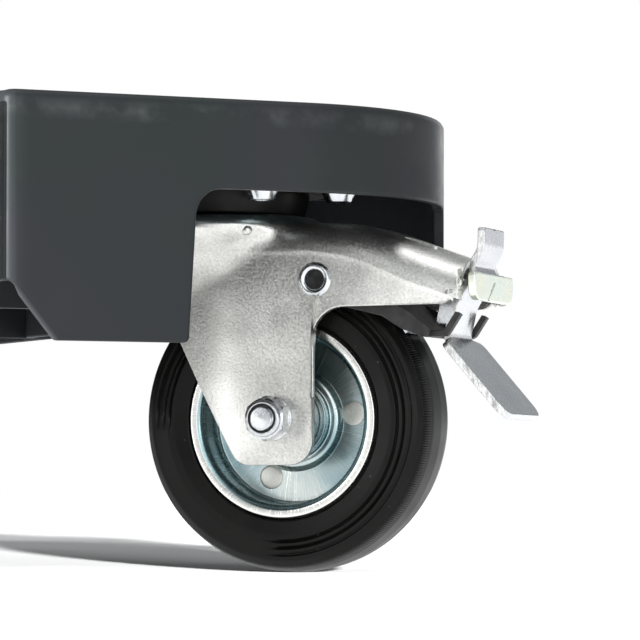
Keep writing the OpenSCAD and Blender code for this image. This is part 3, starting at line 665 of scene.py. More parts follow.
def deck_wall():
    """One quarter of the deck's shell. Each row starts at a point of the skirt's lower
    edge; its columns run from under the panel down the inner face, round the lip, up the
    outer face, over the rounded top edge and across the border into the tray. A column is
    (distance, height, depth) and is laid on the plan by moving in along its normals."""
    plan = spaced(plan_quarter(0.0), 3.0)
    s = along(plan)
    n = left_of(plan)
    coarse = along(plan_quarter(0.0))

    def s_of(x, y):
        return s[np.argmin(np.hypot(plan[:, 0] - x, plan[:, 1] - y))]

    def laid(inset, height):
        """The plan moved in by inset, at the edge's own places along it."""
        plan_in = plan_quarter(inset)
        return np.stack([np.interp(e_s, coarse, plan_in[:, 0]), np.interp(e_s, coarse, plan_in[:, 1]),
                         0 * e_s + height], 1)

    edge = flank_edge(s_of)
    up = left_of(edge)
    e_s, e_z = edge[:, 0], edge[:, 1]
    lip = 0.9
    cols = []
    for f in (0.0, 0.35, 0.7, 0.9):
        cols.append(((e_s, PANEL_LOW + (e_z + lip - PANEL_LOW) * f, WALL), up * f * lip))
    for a in np.radians(np.linspace(0, 90, 5)):
        cols.append(((e_s, e_z, WALL - lip * (1 - math.cos(a))), up * lip * (1 - math.sin(a))))
    for a in np.radians(np.linspace(90, 0, 5)):
        cols.append(((e_s, e_z, lip * (1 - math.cos(a))), up * lip * (1 - math.sin(a))))
    high = DECK_TOP - EDGE_R
    for f in (0.08, 0.3, 0.6, 0.9):
        cols.append(((e_s, e_z + (high - e_z) * f, 0.0), up * lip * (1 - f)))
    for a in np.radians(np.linspace(0, 90, 7)):
        cols.append(((e_s, high + EDGE_R * math.sin(a) + 0 * e_z, EDGE_R * (1 - math.cos(a))), 0 * up))
    points = []
    for (cs, cz, depth), shift in cols:
        at = np.clip(cs + shift[:, 0], 0, s[-1])
        height = cz + shift[:, 1] if np.any(shift) else cz
        x, y = np.interp(at, s, plan[:, 0]), np.interp(at, s, plan[:, 1])
        nx, ny = np.interp(at, s, n[:, 0]), np.interp(at, s, n[:, 1])
        points.append(np.stack([x + nx * depth, y + ny * depth, height + 0 * x], 1))
    border = points[-1]
    rim = laid(TRAY_BORDER, DECK_TOP)
    points += [border + (rim - border) * f for f in (0.06, 0.94)]
    points += [rim, laid(TRAY_BORDER + TRAY_SLOPE, DECK_TOP - TRAY_D)]
    return np.stack(points, 1)


def four_quarters(quarter):
    """The quarter and its three mirror images, as one grid that runs round the deck."""
    back = quarter[::-1] * np.array([1, -1, 1])
    right = np.concatenate([quarter, back[1:]])
    left = right[::-1] * np.array([-1, 1, 1])
    return np.concatenate([right, left[1:-1]])


def deck_shell():
    """The moulding's skin: the quarter wall and its mirror images in one ring, closed above
    by the tray's floor and below by the panel's underside."""
    ring = four_quarters(deck_wall())
    points, faces = grid(ring, close_rows=True)
    rows, cols = ring.shape[:2]
    faces.append(tuple(k * cols + cols - 1 for k in range(rows)))
    faces.append(tuple(k * cols for k in range(rows))[::-1])
    deck_piece("deck_shell", (points, faces), sharp=50)


def beam(x, y, low):
    """A block with softened edges from low up into the panel. x and y are its two ends."""
    outline = np.array([[x[0], low], [x[1], low], [x[1], ROOT_Z], [x[0], ROOT_Z]])
    return slab(outline, y[0], y[1], 0.6, 2)


def corner_ribs(side):
    """At one corner, in x outwards and y inwards from the swivel's axis: the housing's two
    inner walls, and the ribs and bosses of the caster's screws."""
    def corner_beam(x, y, low):
        return beam(sorted(side[0] * (SWIVEL + v) for v in x),
                    sorted(side[1] * (SWIVEL - v) for v in y), low)

    half = RIB_T / 2
    outer = CORNER_R - WALL / 2
    parts = [corner_beam((-HOUSE_WALL, -HOUSE_WALL + WALL), (-outer, HOUSE_WALL - WALL / 2), SKIRT_Z),
             corner_beam((-HOUSE_WALL, outer), (HOUSE_WALL - WALL, HOUSE_WALL), SKIRT_Z)]
    parts += [corner_beam((-99.0, 62.0), (y - half, y + half), PAD_Z) for y in SCREW_Y]
    parts += [corner_beam((x - half, x + half), (-71.0, 100.0), PAD_Z) for x in (SCREW_X[0], SCREW_X[-1])]
    boss = np.array([[BOSS_BORE, PAD_Z], [BOSS_R - 0.6, PAD_Z], [BOSS_R, PAD_Z + 0.6], [BOSS_R, ROOT_Z],
                     [BOSS_BORE, ROOT_Z]])
    parts += [upright(boss, 24, (side[0] * SWIVEL + x, side[1] * SWIVEL + y))
              for x in SCREW_X for y in SCREW_Y]
    return join(*parts)


def deck_ribs():
    """The ribs of the four corners, and three long ribs each way across the middle."""
    parts = [corner_ribs(side) for side in SIDE]
    reach = DECK_HALF - RECESS - WALL / 2
    for at in (-HOUSE / 2, 0.0, HOUSE / 2):
        width = (at - RIB_T / 2, at + RIB_T / 2)
        parts.append(beam((-reach, reach), width, PANEL_LOW - RIB_DROP))
        parts.append(beam(width, (-reach, reach), PANEL_LOW - RIB_DROP))
    deck_piece("deck_ribs", join(*parts))


def deck_bars():
    """Nineteen anti-slip bars, 30 mm apart. Between the housings they stop where the sides
    stand back, and past the swivels' line they stop on the tray's corner arc."""
    bars = []
    for y in 30.0 * np.arange(-9, 10):
        outer = abs(y) + BAR_R
        half = DECK_HALF - BAR_GAP - (0.0 if outer > HOUSE + BAR_GAP else RECESS)
        if outer > SWIVEL:
            half = SWIVEL + math.sqrt(TRAY_R ** 2 - (outer - SWIVEL) ** 2)
        bars.append(bar_mesh(y, half))
    deck_piece("deck_bars", join(*bars))


def bar_mesh(y, half):
    """One anti-slip bar: a long pill in plan, its section a flat top with rounded sides."""
    a = np.radians(np.linspace(-90, 90, 9))
    end = np.stack([half - BAR_R + BAR_R * np.cos(a), y + BAR_R * np.sin(a)], 1)
    plan = np.vstack([end, end[::-1] * np.array([-1, 1])])
    middle = np.stack([np.clip(plan[:, 0], -(half - BAR_R), half - BAR_R), 0 * plan[:, 0] + y], 1)
    soft = 0.9
    round_z = DECK_TOP - soft
    rim = [(1.0, DECK_TOP - TRAY_D - 0.2), (1.0, round_z)]
    rim += [(1 - soft * (1 - math.cos(b)) / BAR_R, round_z + soft * math.sin(b))
            for b in np.radians([30, 60, 90])]
    points = np.stack([np.column_stack([middle + (plan - middle) * f, np.full(len(plan), z)])
                       for f, z in rim], 1)
    part = grid(points, close_rows=True)
    cols = points.shape[1]
    return part[0], part[1] + [tuple(k * cols + cols - 1 for k in range(len(plan)))]


# Swivel: screws, dust ring

def screw_heads(i):
    """Six hex heads under the caster's plate, each a hexagon with a turned chamfer."""
    rows = [(0.0, 6.2), (-0.9, 6.2), (-1.2, 6.0), (-4.0, 4.2), (-4.3, 3.8), (-4.3, 2.9), (-4.0, 2.6),
            (-4.0, 0.01)]
    points, faces = hexed(rows, 10.0, (0.0, 0.0), 48)
    middle = (SIDE[i][0] * SWIVEL - MIDDLE_X, SIDE[i][1] * SWIVEL)
    heads = [(np.stack([points[:, 0] + x + middle[0], points[:, 2] + y + middle[1],
                        points[:, 1] + PLATE_LOW], 1), faces) for x in SCREW_X for y in SCREW_Y]
    put(CORNERS[i] + "_screw_heads", join(*heads), "deck", ["caster_screws"], "screw_zinc", [BOLT_ZINC])


def dust_ring(i):
    """The swivel's dirt ring: a tapered hoop with rounded lower lips."""
    profile = rounded([(23.7, 124.95, 0.3), (32.3, 124.95, 0.5), (31.9, 121.95, 0), (30.6, 117.6, 0.5),
                       (30.0, 117.0, 0.3), (25.5, 117.0, 0.4)], 3)
    caster_piece(i, "dirt_ring", upright(profile, 128), "deck", "dust_ring", "ring_black",
                 RING_BLACK)


# Fork

def smooth_min(a, b, k):
    """The lesser of a and b, rounded where they are within k of each other."""
    h = np.clip((k - np.abs(a - b)) / k, 0, 1)
    return np.minimum(a, b) - h * h * k / 4


def bowl_depth(x, y, z):
    """How far a point lies inside the fork's raised bowl: the least of its distances to
    the cone, the rounded belt, the bevel and the flat seat, with the joins rounded. The
    cone has a radius of 25 mm at a height of 102 mm and widens by 1.2245 mm per mm, and
    0.6325 is the cosine of its slope. The bevel falls 3.3 mm over 3.5 mm, a slant of 4.81."""
    rho = np.hypot(x, y)
    cone = (25.0 + (z - 102.0) * 1.2245 - rho) * 0.6325
    belt = BELT_R - rho
    bevel = (belt * 3.3 + (BELT_Z - z) * 3.5) / 4.81
    seat = SEAT_Z - z
    return smooth_min(smooth_min(cone, belt, 2.0), smooth_min(bevel, seat, 1.2), 1.5)


def bowl_section():
    """Closed section of the bowl's sheet: on each ray from the eye, the outer skin is where
    bowl_depth falls to 0.3, found by halving, and the inner skin is 2.3 mm behind it. The
    sheet's middle is 1.2 mm in from the skin."""
    eye_r, eye_z = CROWN_EYE
    a = np.radians(np.linspace(96, -42, 70))
    near, far = np.zeros_like(a), np.full_like(a, 40.0)
    for _ in range(30):
        mid = (near + far) / 2
        inside = bowl_depth(eye_r + mid * np.cos(a), 0 * a, eye_z + mid * np.sin(a)) > 0.3
        near, far = np.where(inside, mid, near), np.where(inside, far, mid)
    skin = np.stack([eye_r + near * np.cos(a), eye_z + near * np.sin(a)], 1)
    skin = np.vstack([[10.5, skin[0, 1]], skin])
    return band(skin - left_of(skin) * 1.2, 2.3)


def fork_half_width(x):
    """Half width of the fork: level ahead of BACK_X, closing in on an arc behind it."""
    back = np.clip(BACK_X - x, 0, 60)
    return FORK_HALF - BACK_R + np.sqrt(BACK_R ** 2 - back ** 2)


def fork_top(x, braked):
    """Height of the channel's top: a slope of 7.6 degrees behind the knee and one of 19.2
    degrees ahead of it, held a little under the seat. A plain fork's top is level."""
    level = np.full_like(x, CHANNEL_Z)
    if not braked:
        return level
    behind, ahead = (KNEE[1] - (x - KNEE[0]) * math.tan(math.radians(v)) for v in (7.6, 19.2))
    return smooth_min(smooth_min(ahead, behind, 1.6), level, 2.0)


def fork_surface(low, over, rim_y, braked):
    """Half of the fork's outer surface. Row t runs from low[t] = (x, z) on the free edge up
    the side to the shoulder at x = over[t], round it, and across the top to y = rim_y[t].
    Each point then moves out along the channel's normal to where the channel and the
    raised bowl end, which are joined by a hollow fillet. Round the eyelet the side's points
    are pushed out to the hole's rim. A braked fork's shoulder widens from 9.5 to 13 mm along
    the arm, and a faint bead lies where its flat side meets the shoulder: SEAM_BEAD times a
    bell curve of the distance from that seam, rising over x = 18 to 32."""
    w, h = fork_half_width(over), fork_top(over, braked)
    r = np.minimum(np.interp(over, [42.0, 78.0], [9.5, 13.0]) if braked else 11.0, w * 0.98)
    side = 1 - (1 - np.linspace(0, 1, 38)) ** 1.5
    x = low[:, :1] + (over[:, None] - low[:, :1]) * side ** 2
    z = low[:, 1:] + ((h - r)[:, None] - low[:, 1:]) * side
    if braked:
        dx, dz = x - EYELET[0], z - EYELET[1]
        from_hole = np.hypot(dx, dz) + 1e-9
        push = np.maximum(from_hole, HOLE_R) / from_hole
        x, z = EYELET[0] + dx * push, EYELET[1] + dz * push
    y = fork_half_width(x)
    normal = np.stack([0 * x, 1 + 0 * x, 0 * x], -1)
    arch = np.linspace(0, 1, 41)[1:]
    flat_from = w - r
    quarter = r * math.pi / 2
    length = np.where(rim_y > flat_from, r * np.arccos(np.clip((rim_y - flat_from) / r, 0, 1)),
                      quarter + flat_from - rim_y)
    along_arch = length[:, None] * arch
    angle = np.clip(along_arch / r[:, None], 0, math.pi / 2)
    extra = np.clip(along_arch - quarter[:, None], 0, None)
    ya = flat_from[:, None] + r[:, None] * np.cos(angle) - extra
    za = (h - r)[:, None] + r[:, None] * np.sin(angle)
    xa = np.tile(over[:, None], len(arch))
    from_seam = np.hstack([(h - r)[:, None] - z, along_arch])
    x, y, z = np.hstack([x, xa]), np.hstack([y, ya]), np.hstack([z, za])
    normal = np.concatenate([normal, np.stack([0 * angle, np.cos(angle), np.sin(angle)], -1)], 1)
    base = np.stack([x, y, z], -1)
    near, out = np.full(x.shape, -0.5), np.full(x.shape, 34.0)
    for _ in range(22):
        mid = (near + out) / 2
        p = base + normal * mid[..., None]
        inside = smooth_min(mid, -bowl_depth(p[..., 0], p[..., 1], p[..., 2]), CROWN_FILLET) < 0
        near, out = np.where(inside, mid, near), np.where(inside, out, mid)
    if braked:
        near += SEAM_BEAD * np.clip((x - 18.0) / 14.0, 0, 1) * np.exp(-(from_seam / 0.9) ** 2)
    return base + normal * near[..., None]


def fork_edge(braked):
    """The free edge of one side in x and z, from under the back of the bowl down the leg
    and up to the front, with its points closest where the crown above it is shaped."""
    corners = [(*FORK_BACK, 0), (*LEG_BACK, 7), (*LEG_FRONT, 8)]
    if braked:
        corners += [(*ARM_ROOT, 10.5), (*ARM_LOW, 5), (94.0, 91.9, 3), (*ARM_END, 0)]
    else:
        corners += [(43.7, 92.0, 15), (35.5, 102.0, 3), (35.5, 103.5, 0)]
    path = spaced(rounded_path(corners, 8), 1.5)
    finer = np.interp(along(path), [85.0, 95.0, 110.0, 120.0], [1.0, 2.6, 2.6, 1.0])
    share = np.concatenate([[0], np.cumsum(finer[1:] * np.diff(along(path)))])
    at = np.interp(np.linspace(0, share[-1], int(share[-1] / 1.2)), share, along(path))
    return np.stack([np.interp(at, along(path), path[:, k]) for k in (0, 1)], 1)


def fork_side(braked):
    """One half of the pressed fork, a sheet whose lower edge and shoulder are paired at a
    few key points, with half of the open slot in a braked fork's arm: its rim goes out from
    4 to 12.5 mm over the slot's round end."""
    low = fork_edge(braked)
    if braked:
        keys = [(FORK_BACK, -18.6), (LEG_BACK, 10.0), (LEG_FRONT, 34.0), (ARM_ROOT, 57.0), (ARM_LOW, 87.0),
                (ARM_END, 93.99)]
    else:
        keys = [(FORK_BACK, -18.6), (LEG_BACK, 8.0), (LEG_FRONT, 28.0), ((43.7, 92.0), 33.0),
                ((35.5, 103.5), 35.5)]
    s = along(low)
    key_s = [s[np.argmin(np.hypot(low[:, 0] - x, low[:, 1] - z))] for (x, z), _ in keys]
    over = np.interp(s, key_s, [x for _, x in keys])
    rim = np.zeros_like(over)
    if braked:
        rim = np.where(over > SLOT_X, np.clip(4.0 + (over - SLOT_X) * 8.5 / 6.0, 0, 12.5), 0.0)
        first = int(np.argmax(over > SLOT_X))
        low = np.insert(low, first, [low[first], low[first]], axis=0)
        over = np.insert(over, first, [SLOT_X, SLOT_X])
        rim = np.insert(rim, first, [0.0, 4.0])
    half = sheet(fork_surface(low, over, rim, braked), FORK_T, np.array([0.0, 1.0, 0.0]), 0.45, lift=0.0)
    half = without(half, lambda p: (np.abs(p[:, 1]) < 0.6) & (p[:, 0] < SLOT_X - 0.5))
    if braked:
        half = without(half, lambda p: np.hypot(p[:, 0] - EYELET[0], p[:, 2] - EYELET[1]) < HOLE_R + 0.02)
    return half


def pip():
    """The small round pip on a braked fork's crown: a ball, half sunk in it."""
    turn, rise = np.radians(np.linspace(0, 360, 25)[:-1]), np.radians(np.linspace(-89, 89, 13))
    points = np.stack([PIP[0] + PIP_R * np.outer(np.cos(rise), np.cos(turn)),
                       PIP[1] + PIP_R * np.outer(np.cos(rise), np.sin(turn)),
                       PIP[2] + PIP_R * np.outer(np.sin(rise), np.ones(len(turn)))], -1)
    return grid(points, close_cols=True)


def fork(i):
    """The caster's fork: both halves of the pressed sheet and its raised bowl."""
    braked = BRAKED[i]
    caster_piece(i, "fork_sheet", mirrored(fork_side(braked)), "swivel", "fork", "fork_zinc", FORK_ZINC,
                 sharp=60)
    bowl = upright(bowl_section(), 128)
    if braked:
        bowl = join(bowl, pip())
    caster_piece(i, "fork_bowl", bowl, "swivel", "fork", "fork_zinc", FORK_ZINC)


def eyelets(i):
    """Hollow rivets in the fork's sides: a bored tube whose end is rolled out flat."""
    bore, tube, flare, face = 3.1, 4.3, 5.6, FORK_HALF
    inner = rounded_path([(bore, face - 6.0, 0), (bore, face + 0.9, 1.2), (flare - 0.8, face + 0.9, 0.7),
                          (flare, face + 0.05, 0)], 5)
    profile = np.vstack([inner, [(tube, face), (tube, face - 6.0)]])
    caster_piece(i, "hollow_rivets", mirrored(turned(profile, EYELET, 64)), "swivel", "brake_pins",
                 "screw_zinc", BOLT_ZINC)


# Axle

def thread(centre, start, end):
    """The bolt's threaded end, from y = start down to y = end: the radius is 3.4 mm and a
    triangle wave of 0.65 mm along the helix y / pitch + angle / turn, which fades out over
    the last 0.9 mm, and the tip is closed by a flat cap."""
    y = np.arange(start, end, -0.156)
    a = np.linspace(0, 2 * math.pi, 49)[:-1]
    wave = np.abs(((y[None] / PITCH + a[:, None] / (2 * math.pi)) % 1.0) - 0.5) * 2
    r = 3.3 + 0.65 * wave * np.clip((y - end) / 0.9, 0, 1)[None] + 0.1
    stem = np.stack([centre[0] + np.cos(a)[:, None] * r, np.tile(y, (len(a), 1)),
                     centre[1] + np.sin(a)[:, None] * r], -1)
    last = stem[:, -1].copy()
    tip = np.array([centre[0], y[-1] - 0.15, centre[1]])
    cap = np.stack([last + (tip - last) * f for f in (0.1, 0.6, 0.99)], 1)
    return grid(np.concatenate([stem, cap], 1), close_rows=True)


def axle(i):
    """Axle bolt: hex head and washer on one side, washer, locking nut and threaded end on
    the other."""
    face = -FORK_HALF
    nut = hexed([(face - 1.2, 6.6), (face - 1.8, 7.6), (face - 6.4, 7.6), (face - 7.6, 6.6),
                 (face - 8.0, 6.0)], SPANNER, AXLE)
    collar = turned(rounded([(6.0, face - 7.4, 0), (6.0, face - 9.6, 1.2), (4.9, face - 9.6, 0.3),
                             (4.9, face - 7.4, 0)], 4), AXLE)
    washers = [turned(rounded([(4.05, y0, 0), (r, y0, 0.3), (r, y1, 0.3), (4.05, y1, 0)], 2), AXLE)
               for y0, y1, r in ((face - 1.5, face, 7.1), (-face, -face + 1.5, 8.2))]
    head = hexed([(-face + 1.5, 7.6), (-face + 5.6, 7.6), (-face + 6.4, 6.6), (-face + 6.8, 5.7),
                  (-face + 6.8, 0.01)], SPANNER, AXLE)
    shaft = turned(np.array([(0.01, face - 6.5), (3.95, face - 6.5), (3.95, -face + 2), (0.01, -face + 2)]),
                   AXLE, 48, closed=False)
    both = join(nut, collar, head, thread(AXLE, face - 6.0, face - 10.6), shaft, *washers)
    caster_piece(i, "axle_and_nut", both, "swivel", "axle_bolt", "axle_zinc", BOLT_ZINC, sharp=32)
    ring = turned(rounded([(3.9, face - 8.0, 0), (3.9, face - 9.1, 0.3), (4.95, face - 9.3, 0.3),
                           (4.95, face - 8.0, 0)], 3), AXLE)
    caster_piece(i, "nut_ring", ring, "swivel", "axle_bolt", "axle_zinc", NYLON_BLACK)


# Wheel

def wheel_pattern(points):
    """(angle round the axle as a share of a half turn, distance from the axle in cm)."""
    dx, dz = points[:, 0] - WHEEL_X, points[:, 2] - WHEEL_R
    angle = np.abs(np.arctan2(dz, dx)) / math.pi
    return np.stack([angle, np.hypot(dx, dz) / 10.0], 1)


def rim(i):
    """Both pressed halves of the rim: collar round the hub, disc, drum and rolled lip."""
    path = rounded_path([(11.95, 8.5, 0), (11.95, 3.6, 1.7), (15.1, 3.6, 1.3), (16.3, 1.05, 1.2),
                         (28.75, 1.05, 2.4), (28.75, 14.0, 1.6), (32.0, 14.0, 0)], 6)
    half = band(spaced(path, 0.9), 2.0)
    for s, side in ((-1, "outer"), (1, "inner")):
        part = turned(half * np.array([1, s]), AXLE, 160)
        caster_piece(i, f"rim_{side}_half", part, "wheel", f"rim_{side}", "rim_zinc", RIM,
                     pattern=wheel_pattern(part[0]), sharp=45)


def rivets(i):
    """Three rivets through the rim's discs, each with a shallow domed head on both sides."""
    head_r, disc, rise = 4.0, 2.1, 0.6
    dome = np.radians(np.linspace(90, 0, 8))
    head = np.stack([head_r * np.cos(dome), disc + rise * np.sin(dome) ** 0.5], 1)
    profile = np.vstack([head, head[::-1] * np.array([1, -1])])
    profile[[0, -1], 0] = 0.01
    parts = [turned(profile, (WHEEL_X + 20.5 * math.cos(a), WHEEL_R + 20.5 * math.sin(a)), 40, False)
             for a in np.radians([6, 126, 246])]
    caster_piece(i, "rivet_heads", join(*parts), "wheel", "rim_rivets", "rivet_steel", RIVET_STEEL)


def hub(i):
    """The hub tube that the rim's collars grip, with softened ends."""
    profile = rounded([(6.1, -19.8, 0.4), (10.9, -19.8, 0.6), (10.9, 19.8, 0.6), (6.1, 19.8, 0.4)], 3)
    part = turned(profile, AXLE, 96)
    caster_piece(i, "hub_tube", part, "wheel", "hub", "hub_steel", TURNED_STEEL,
                 pattern=wheel_pattern(part[0]))


def tyre(i):
    """Solid rubber tyre. Radius and width follow a profile from bead to bead. Three rings
    are sunk in each side wall, each a bell curve of the radius with a low bank outside it,
    and fade out over a bare arc from 181 to 266 degrees."""
    top = rounded_path([(29.8, 12.8, 0), (32.5, 12.8, 0.3), (33.1, 14.1, 0.8), (39.0, 14.75, 6),
                        (45.6, 14.1, 3), (48.4, 11.6, 4.5), (49.6, 7.0, 10), (50.0, 0.0, 0)], 8)
    top = spaced(top, 0.45)
    top[:, 1] = np.minimum(top[:, 1], 14.6)
    profile = np.vstack([top, top[::-1][1:] * np.array([1, -1])])
    a = np.linspace(0, 2 * math.pi, 201)[:-1]
    r, y = profile[:, 0], profile[:, 1]
    sink = np.zeros_like(r)
    for ring_r in (39.6, 41.8, 44.0):
        sink += 0.75 * np.exp(-((r - ring_r) / 0.42) ** 2)
        sink -= 0.22 * np.exp(-((r - ring_r - 0.75) / 0.3) ** 2)
    before, after = (1 / (1 + np.exp(-(np.degrees(a) - v) / 1.2)) for v in (181, 266))
    depth = sink[None] * (1 - (before - after)[:, None])
    side = np.sign(y) * (np.abs(y) > 9)
    points = np.stack([WHEEL_X + np.outer(np.cos(a), r), y[None] - side[None] * depth,
                       WHEEL_R + np.outer(np.sin(a), r)], -1)
    part = grid(points, close_rows=True, close_cols=True)
    caster_piece(i, "rubber_tyre", part, "wheel", "tyre", "tyre_rubber", RUBBER,
                 pattern=wheel_pattern(part[0]), sharp=60)


# Brake

def lever_neck():
    """Neck and pedal: one strip that runs from the pedal's tip up to the cross plate, with
    a shallow dent where the neck leaves the pedal. The dent is 0.7 mm deep and falls off
    with the sixth power of the distance, along and across."""
    tip, bend = np.array([107.6, 50.3]), np.array([85.3, 76.2])
    pedal, neck = 19.0, 11.2
    path = spaced(rounded_path([(*tip, 0), (*bend, 3), (87.6, 86.4, 8), (92.2, 94.2, 4),
                                (96.85, 95.35, 0)], 8), 1.2)
    end = along(path)[-1]
    run = float(np.linalg.norm(tip - bend))
    edge = spaced(rounded([(0, pedal, 5), (run - 2.6, pedal, 3), (run - 1.2, neck, 0.8), (end, neck, 0),
                           (end, 0, 0), (0, 0, 0)], 6)[:-2], 1.6)
    edge[:, 0] = np.maximum.accumulate(edge[:, 0])

    def dent(at, y):
        near = 1 / (1 + ((at - run - 9.5) / 4.2) ** 6)
        return -0.7 * near / (1 + (y / 4.6) ** 6)

    return ribbon(path, edge, LEVER_T, 15, dent=dent)


def lever_tab():
    """The release tab: a strip with rounded upper corners, bent up behind the cross plate."""
    half = 10.5
    path = spaced(rounded_path([(97.2, 95.35, 0), (92.4, 97.6, 3), (96.8, 104.5, 6), (97.0, 111.5, 0)], 8),
                  1.0)
    end = along(path)[-1]
    edge = spaced(rounded([(0, half, 0), (end, half, 1.2), (end, 0, 0), (0, 0, 0)], 4)[:-2], 1.2)
    return ribbon(path, edge, LEVER_T, 9)


def cross_plate():
    """The upright plate with two rounded ears and the slanting slit beside the neck, drawn
    in y and z and turned across the caster."""
    low, high, half = 87.8, 96.6, 20.5
    slit = high - LEVER_T
    face = rounded([(half, low, 5), (half, high, 1.2), (-half, high, 1.2), (-half, low, 5),
                    (-6.6, low, 0), (-0.2, slit, 0), (1.0, slit, 0), (-5.4, low, 0)], 6)
    points, faces = slab(face, 95.6, 98.1, 0.35)
    return points[:, [1, 0, 2]], faces


def lever(i):
    """The brake lever: neck, pedal and release tab as bent sheet whose cut edges carry a
    painted glint, the cross plate with a painted highlight, and the two cheeks that turn
    on the pin."""
    x, z = PIVOT
    cheek = rounded([(87.6, 80.4, 1), (87.6, 86.4, 1), (92.2, 94.2, 1), (x, z + 4.5, 1.5),
                     (x - 4, z + 1, 1.5), (x - 4.2, z - 6, 2), (x - 5.6, z - 12, 1)], 4)
    cheeks = [slab(cheek, y0, y0 + 2.2, 0.4) for y0 in (9.0, -11.2)]
    bent, plate = join(lever_neck(), lever_tab()), cross_plate()
    both = join(bent, *cheeks, plate)
    cut = np.zeros(len(both[1]), int)
    # Faces along y get the cut-edge zinc, painted paler as a glint
    cut[:len(bent[1])] = side_faces(bent)
    # The cross plate gets the passivated zinc, painted paler as a highlight
    cut[-len(plate[1]):] = 2
    caster_piece(i, "lever_sheet", both, "lever", "brake_lever", "lever_zinc", LEVER_ZINC, CUT_ZINC_PAINTED_GLINT,
                 PASSIVATED_PAINTED_HIGHLIGHT, cut=cut, sharp=50)


def arc_about_wheel(r, a, b, n):
    """Points on a circle round the axle from angle a to angle b in degrees."""
    t = np.radians(np.linspace(a, b, n))
    return np.stack([WHEEL_X + r * np.cos(t), WHEEL_R + r * np.sin(t)], 1)


def strip(path, half, thickness, rows, cols):
    """A ribbon of one width along the whole path."""
    edge = np.array([(v, half) for v in np.linspace(0, along(path)[-1], rows)])
    return ribbon(path, edge, thickness, cols)


def brake(i):
    """Black spring with side arms, web and two prongs, and the zinc shoe under it."""
    x = EYELET[0]
    web = np.vstack([arc_about_wheel(53.05, 62, 40, 14), [(79.0, 77.2), (81.4, 77.2)]])
    arm = rounded([(x - 7, 90, 5), (66, 83, 4), (73, 78.6, 3), (81, 76.2, 0.6), (82.5, 78.6, 0.6),
                   (76, 84, 3), (60, 93, 6), (x, 102.5, 6), (x - 7.5, 99, 4)], 6)
    arms = [slab(arm, y0, y0 + 2.0, 0.4) for y0 in (17.45, -19.45)]
    path = spaced(rounded_path([(79.0, 77.2, 0), (86.4, 77.4, 1.5), (90.6, 83.8, 0)], 5), 0.8)
    points, faces = strip(path, 1.6, 2.0, 18, 4)
    prongs = [(points + np.array([0, y, 0]), faces) for y in (-14.0, 14.0)]
    caster_piece(i, "spring_sheet", join(strip(web, 18.9, 2.0, 24, 5), *arms, *prongs), "brake",
                 "brake_spring", "spring_black", SPRING_BLACK)
    shoe = strip(arc_about_wheel(51.2, 66, 33, 30), 14.0, 1.6, 30, 7)
    caster_piece(i, "shoe_sheet", shoe, "brake", "brake_shoe", "shoe_zinc", LEVER_ZINC)


deck_shell()
deck_ribs()
deck_bars()
for corner in range(4):
    screw_heads(corner)
    dust_ring(corner)
    fork(corner)
    axle(corner)
    rim(corner)
    rivets(corner)
    hub(corner)
    tyre(corner)
    if BRAKED[corner]:
        eyelets(corner)
        lever(corner)
        brake(corner)
    # The top plate is given the near-black of painted shade
    for kind, metal in (("plate", PLATE_PAINTED_SHADE), ("king_pin", TURNED_STEEL),
                        ("bearing_balls", TURNED_STEEL), ("axle_spacer", TURNED_STEEL)):
        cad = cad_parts[f"{CORNERS[corner]}_{kind}"]
        cad.data.materials.clear()
        cad.data.materials.append(metal)


# Floor, light and camera

def stage_floor():
    """A wide pale floor."""
    mesh = bpy.data.meshes.new("floor")
    size = 30.0
    corners = [(-size, -size, 0), (size, -size, 0), (size, size, 0), (-size, size, 0)]
    mesh.from_pydata(corners, [], [(0, 1, 2, 3)])
    mesh.materials.append(finish("pale_floor", (0.50, 0.50, 0.50), 0.0, 1.0, Specular_IOR_Level=0.0)[0])
    floor = bpy.data.objects.new("floor", mesh)
    bpy.context.scene.collection.objects.link(floor)
    return floor


def light_only(holder, piece, casting=()):
    """The light falls on this one piece. Its shadows there come from all the others, or
    from the casting ones alone where some are given."""
    lit = bpy.data.collections.new(holder.name + "_receivers")
    lit.objects.link(piece)
    holder.light_linking.receiver_collection = lit
    if casting:
        dark = bpy.data.collections.new(holder.name + "_blockers")
        for other in casting:
            dark.objects.link(other)
        holder.light_linking.blocker_collection = dark


def lamp(name, spot, aim, size, power, only=None):
    """A rectangular soft light at a spot in metres, turned to face the aim, for the whole
    scene or for one piece only."""
    light = bpy.data.lights.new(name, "AREA")
    light.shape = "RECTANGLE"
    light.size, light.size_y = size
    light.energy = power
    holder = bpy.data.objects.new(name, light)
    bpy.context.scene.collection.objects.link(holder)
    look = np.array(aim) - np.array(spot)
    flat = math.hypot(look[0], look[1])
    holder.location = spot
    holder.rotation_euler = (math.atan2(flat, -look[2]), 0.0, math.atan2(-look[0], look[1]))
    if only:
        light_only(holder, only)


def sun(name, azimuth, height, strength, softness, only, casting=()):
    """A soft sun from an azimuth (0 from the front, 90 from the right) and a height, both
    in degrees, for one piece only. It isn't mirrored in the others."""
    light = bpy.data.lights.new(name, "SUN")
    light.energy, light.angle = strength, math.radians(softness)
    holder = bpy.data.objects.new(name, light)
    bpy.context.scene.collection.objects.link(holder)
    holder.rotation_euler = (math.radians(90 - height), 0.0, math.radians(azimuth))
    holder.visible_glossy = False
    light_only(holder, only, casting)


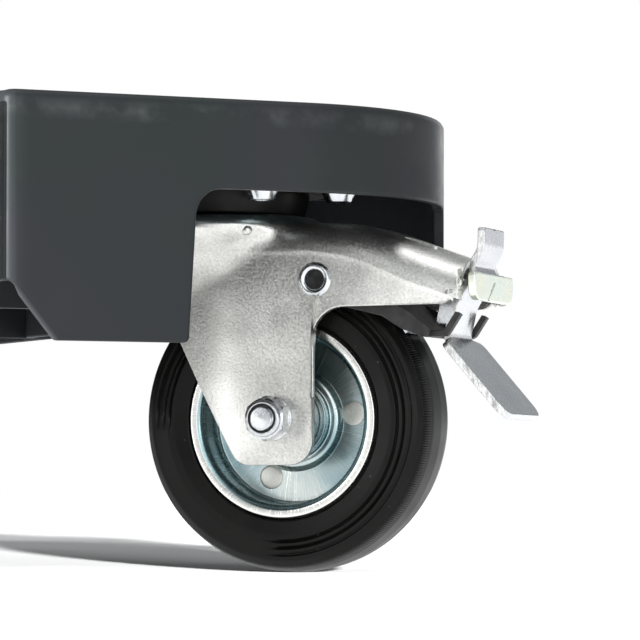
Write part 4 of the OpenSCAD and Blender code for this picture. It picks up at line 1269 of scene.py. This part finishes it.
def studio_light(floor):
    """White behind the object, and a dimmer room for its reflections. Two suns light the
    floor alone, a broad one and a low one that draws the casters' shadows. Two lamps light
    the deck's skin alone, along its left and right edges, and five panels light it all."""
    world = bpy.data.worlds.new("studio")
    world.use_nodes = True
    tree = world.node_tree
    room = tree.nodes["Background"]
    room.inputs["Color"].default_value = (0.95, 0.98, 1.0, 1)
    room.inputs["Strength"].default_value = 0.42
    white = added(tree, "Background", Color=(1.0, 1.0, 1.0, 1))
    mix = added(tree, "MixShader")
    link(added(tree, "LightPath").outputs["Is Camera Ray"], mix, 0)
    link(room.outputs[0], mix, 1)
    link(white.outputs[0], mix, 2)
    link(mix.outputs[0], tree.nodes["World Output"], "Surface")
    bpy.context.scene.world = world
    bpy.context.scene.view_settings.view_transform = "Standard"
    casters = [o for o in bpy.data.objects if o.type == "MESH" and o != floor
               and not o.name.startswith("deck")]
    sun("floor_key", -32.0, 27.0, 3.2, 10.0, floor)
    sun("low_sun", -14.4, 6.2, 50.0, 2.2, floor, casters)
    shell = bpy.data.objects["deck_shell"]
    lamp("edge_left", (-2.6, -0.55, 0.4), (0.0, -0.3, 0.11), (0.35, 1.2), 250.0, shell)
    lamp("edge_right", (2.15, 1.65, 0.4), (0.3, -0.2, 0.11), (0.35, 1.2), 6.0, shell)
    lamp("left_panel", (-2.6, -0.6, 0.5), (0.25, -0.25, 0.1), (0.8, 1.0), 16.0)
    lamp("front_panel", (-1.0, -2.5, 0.9), (0.2, -0.2, 0.08), (1.7, 1.6), 13.0)
    lamp("low_front", (0.35, -2.7, 0.3), (0.25, -0.25, 0.1), (1.0, 0.8), 9.0)
    lamp("top_panel", (0.3, -0.5, 2.2), (0.25, -0.25, 0.1), (1.6, 0.4), 10.0)
    lamp("right_panel", (2.6, 0.75, 0.12), (0.3, -0.2, 0.1), (0.7, 0.5), 0.7)


def camera():
    """The photograph's viewpoint: close to the floor, 25 degrees left of the front."""
    view = bpy.data.cameras.new("photo_view")
    view.lens, view.sensor_width = 213.19, 36.0
    view.clip_end = 100.0
    holder = bpy.data.objects.new("photo_view", view)
    holder.location = (-0.28298, -1.3800, 0.027)
    holder.rotation_euler = (math.radians(92.568), 0.0, math.radians(-25))
    bpy.context.scene.collection.objects.link(holder)
    bpy.context.scene.camera = holder


camera()
studio_light(stage_floor())
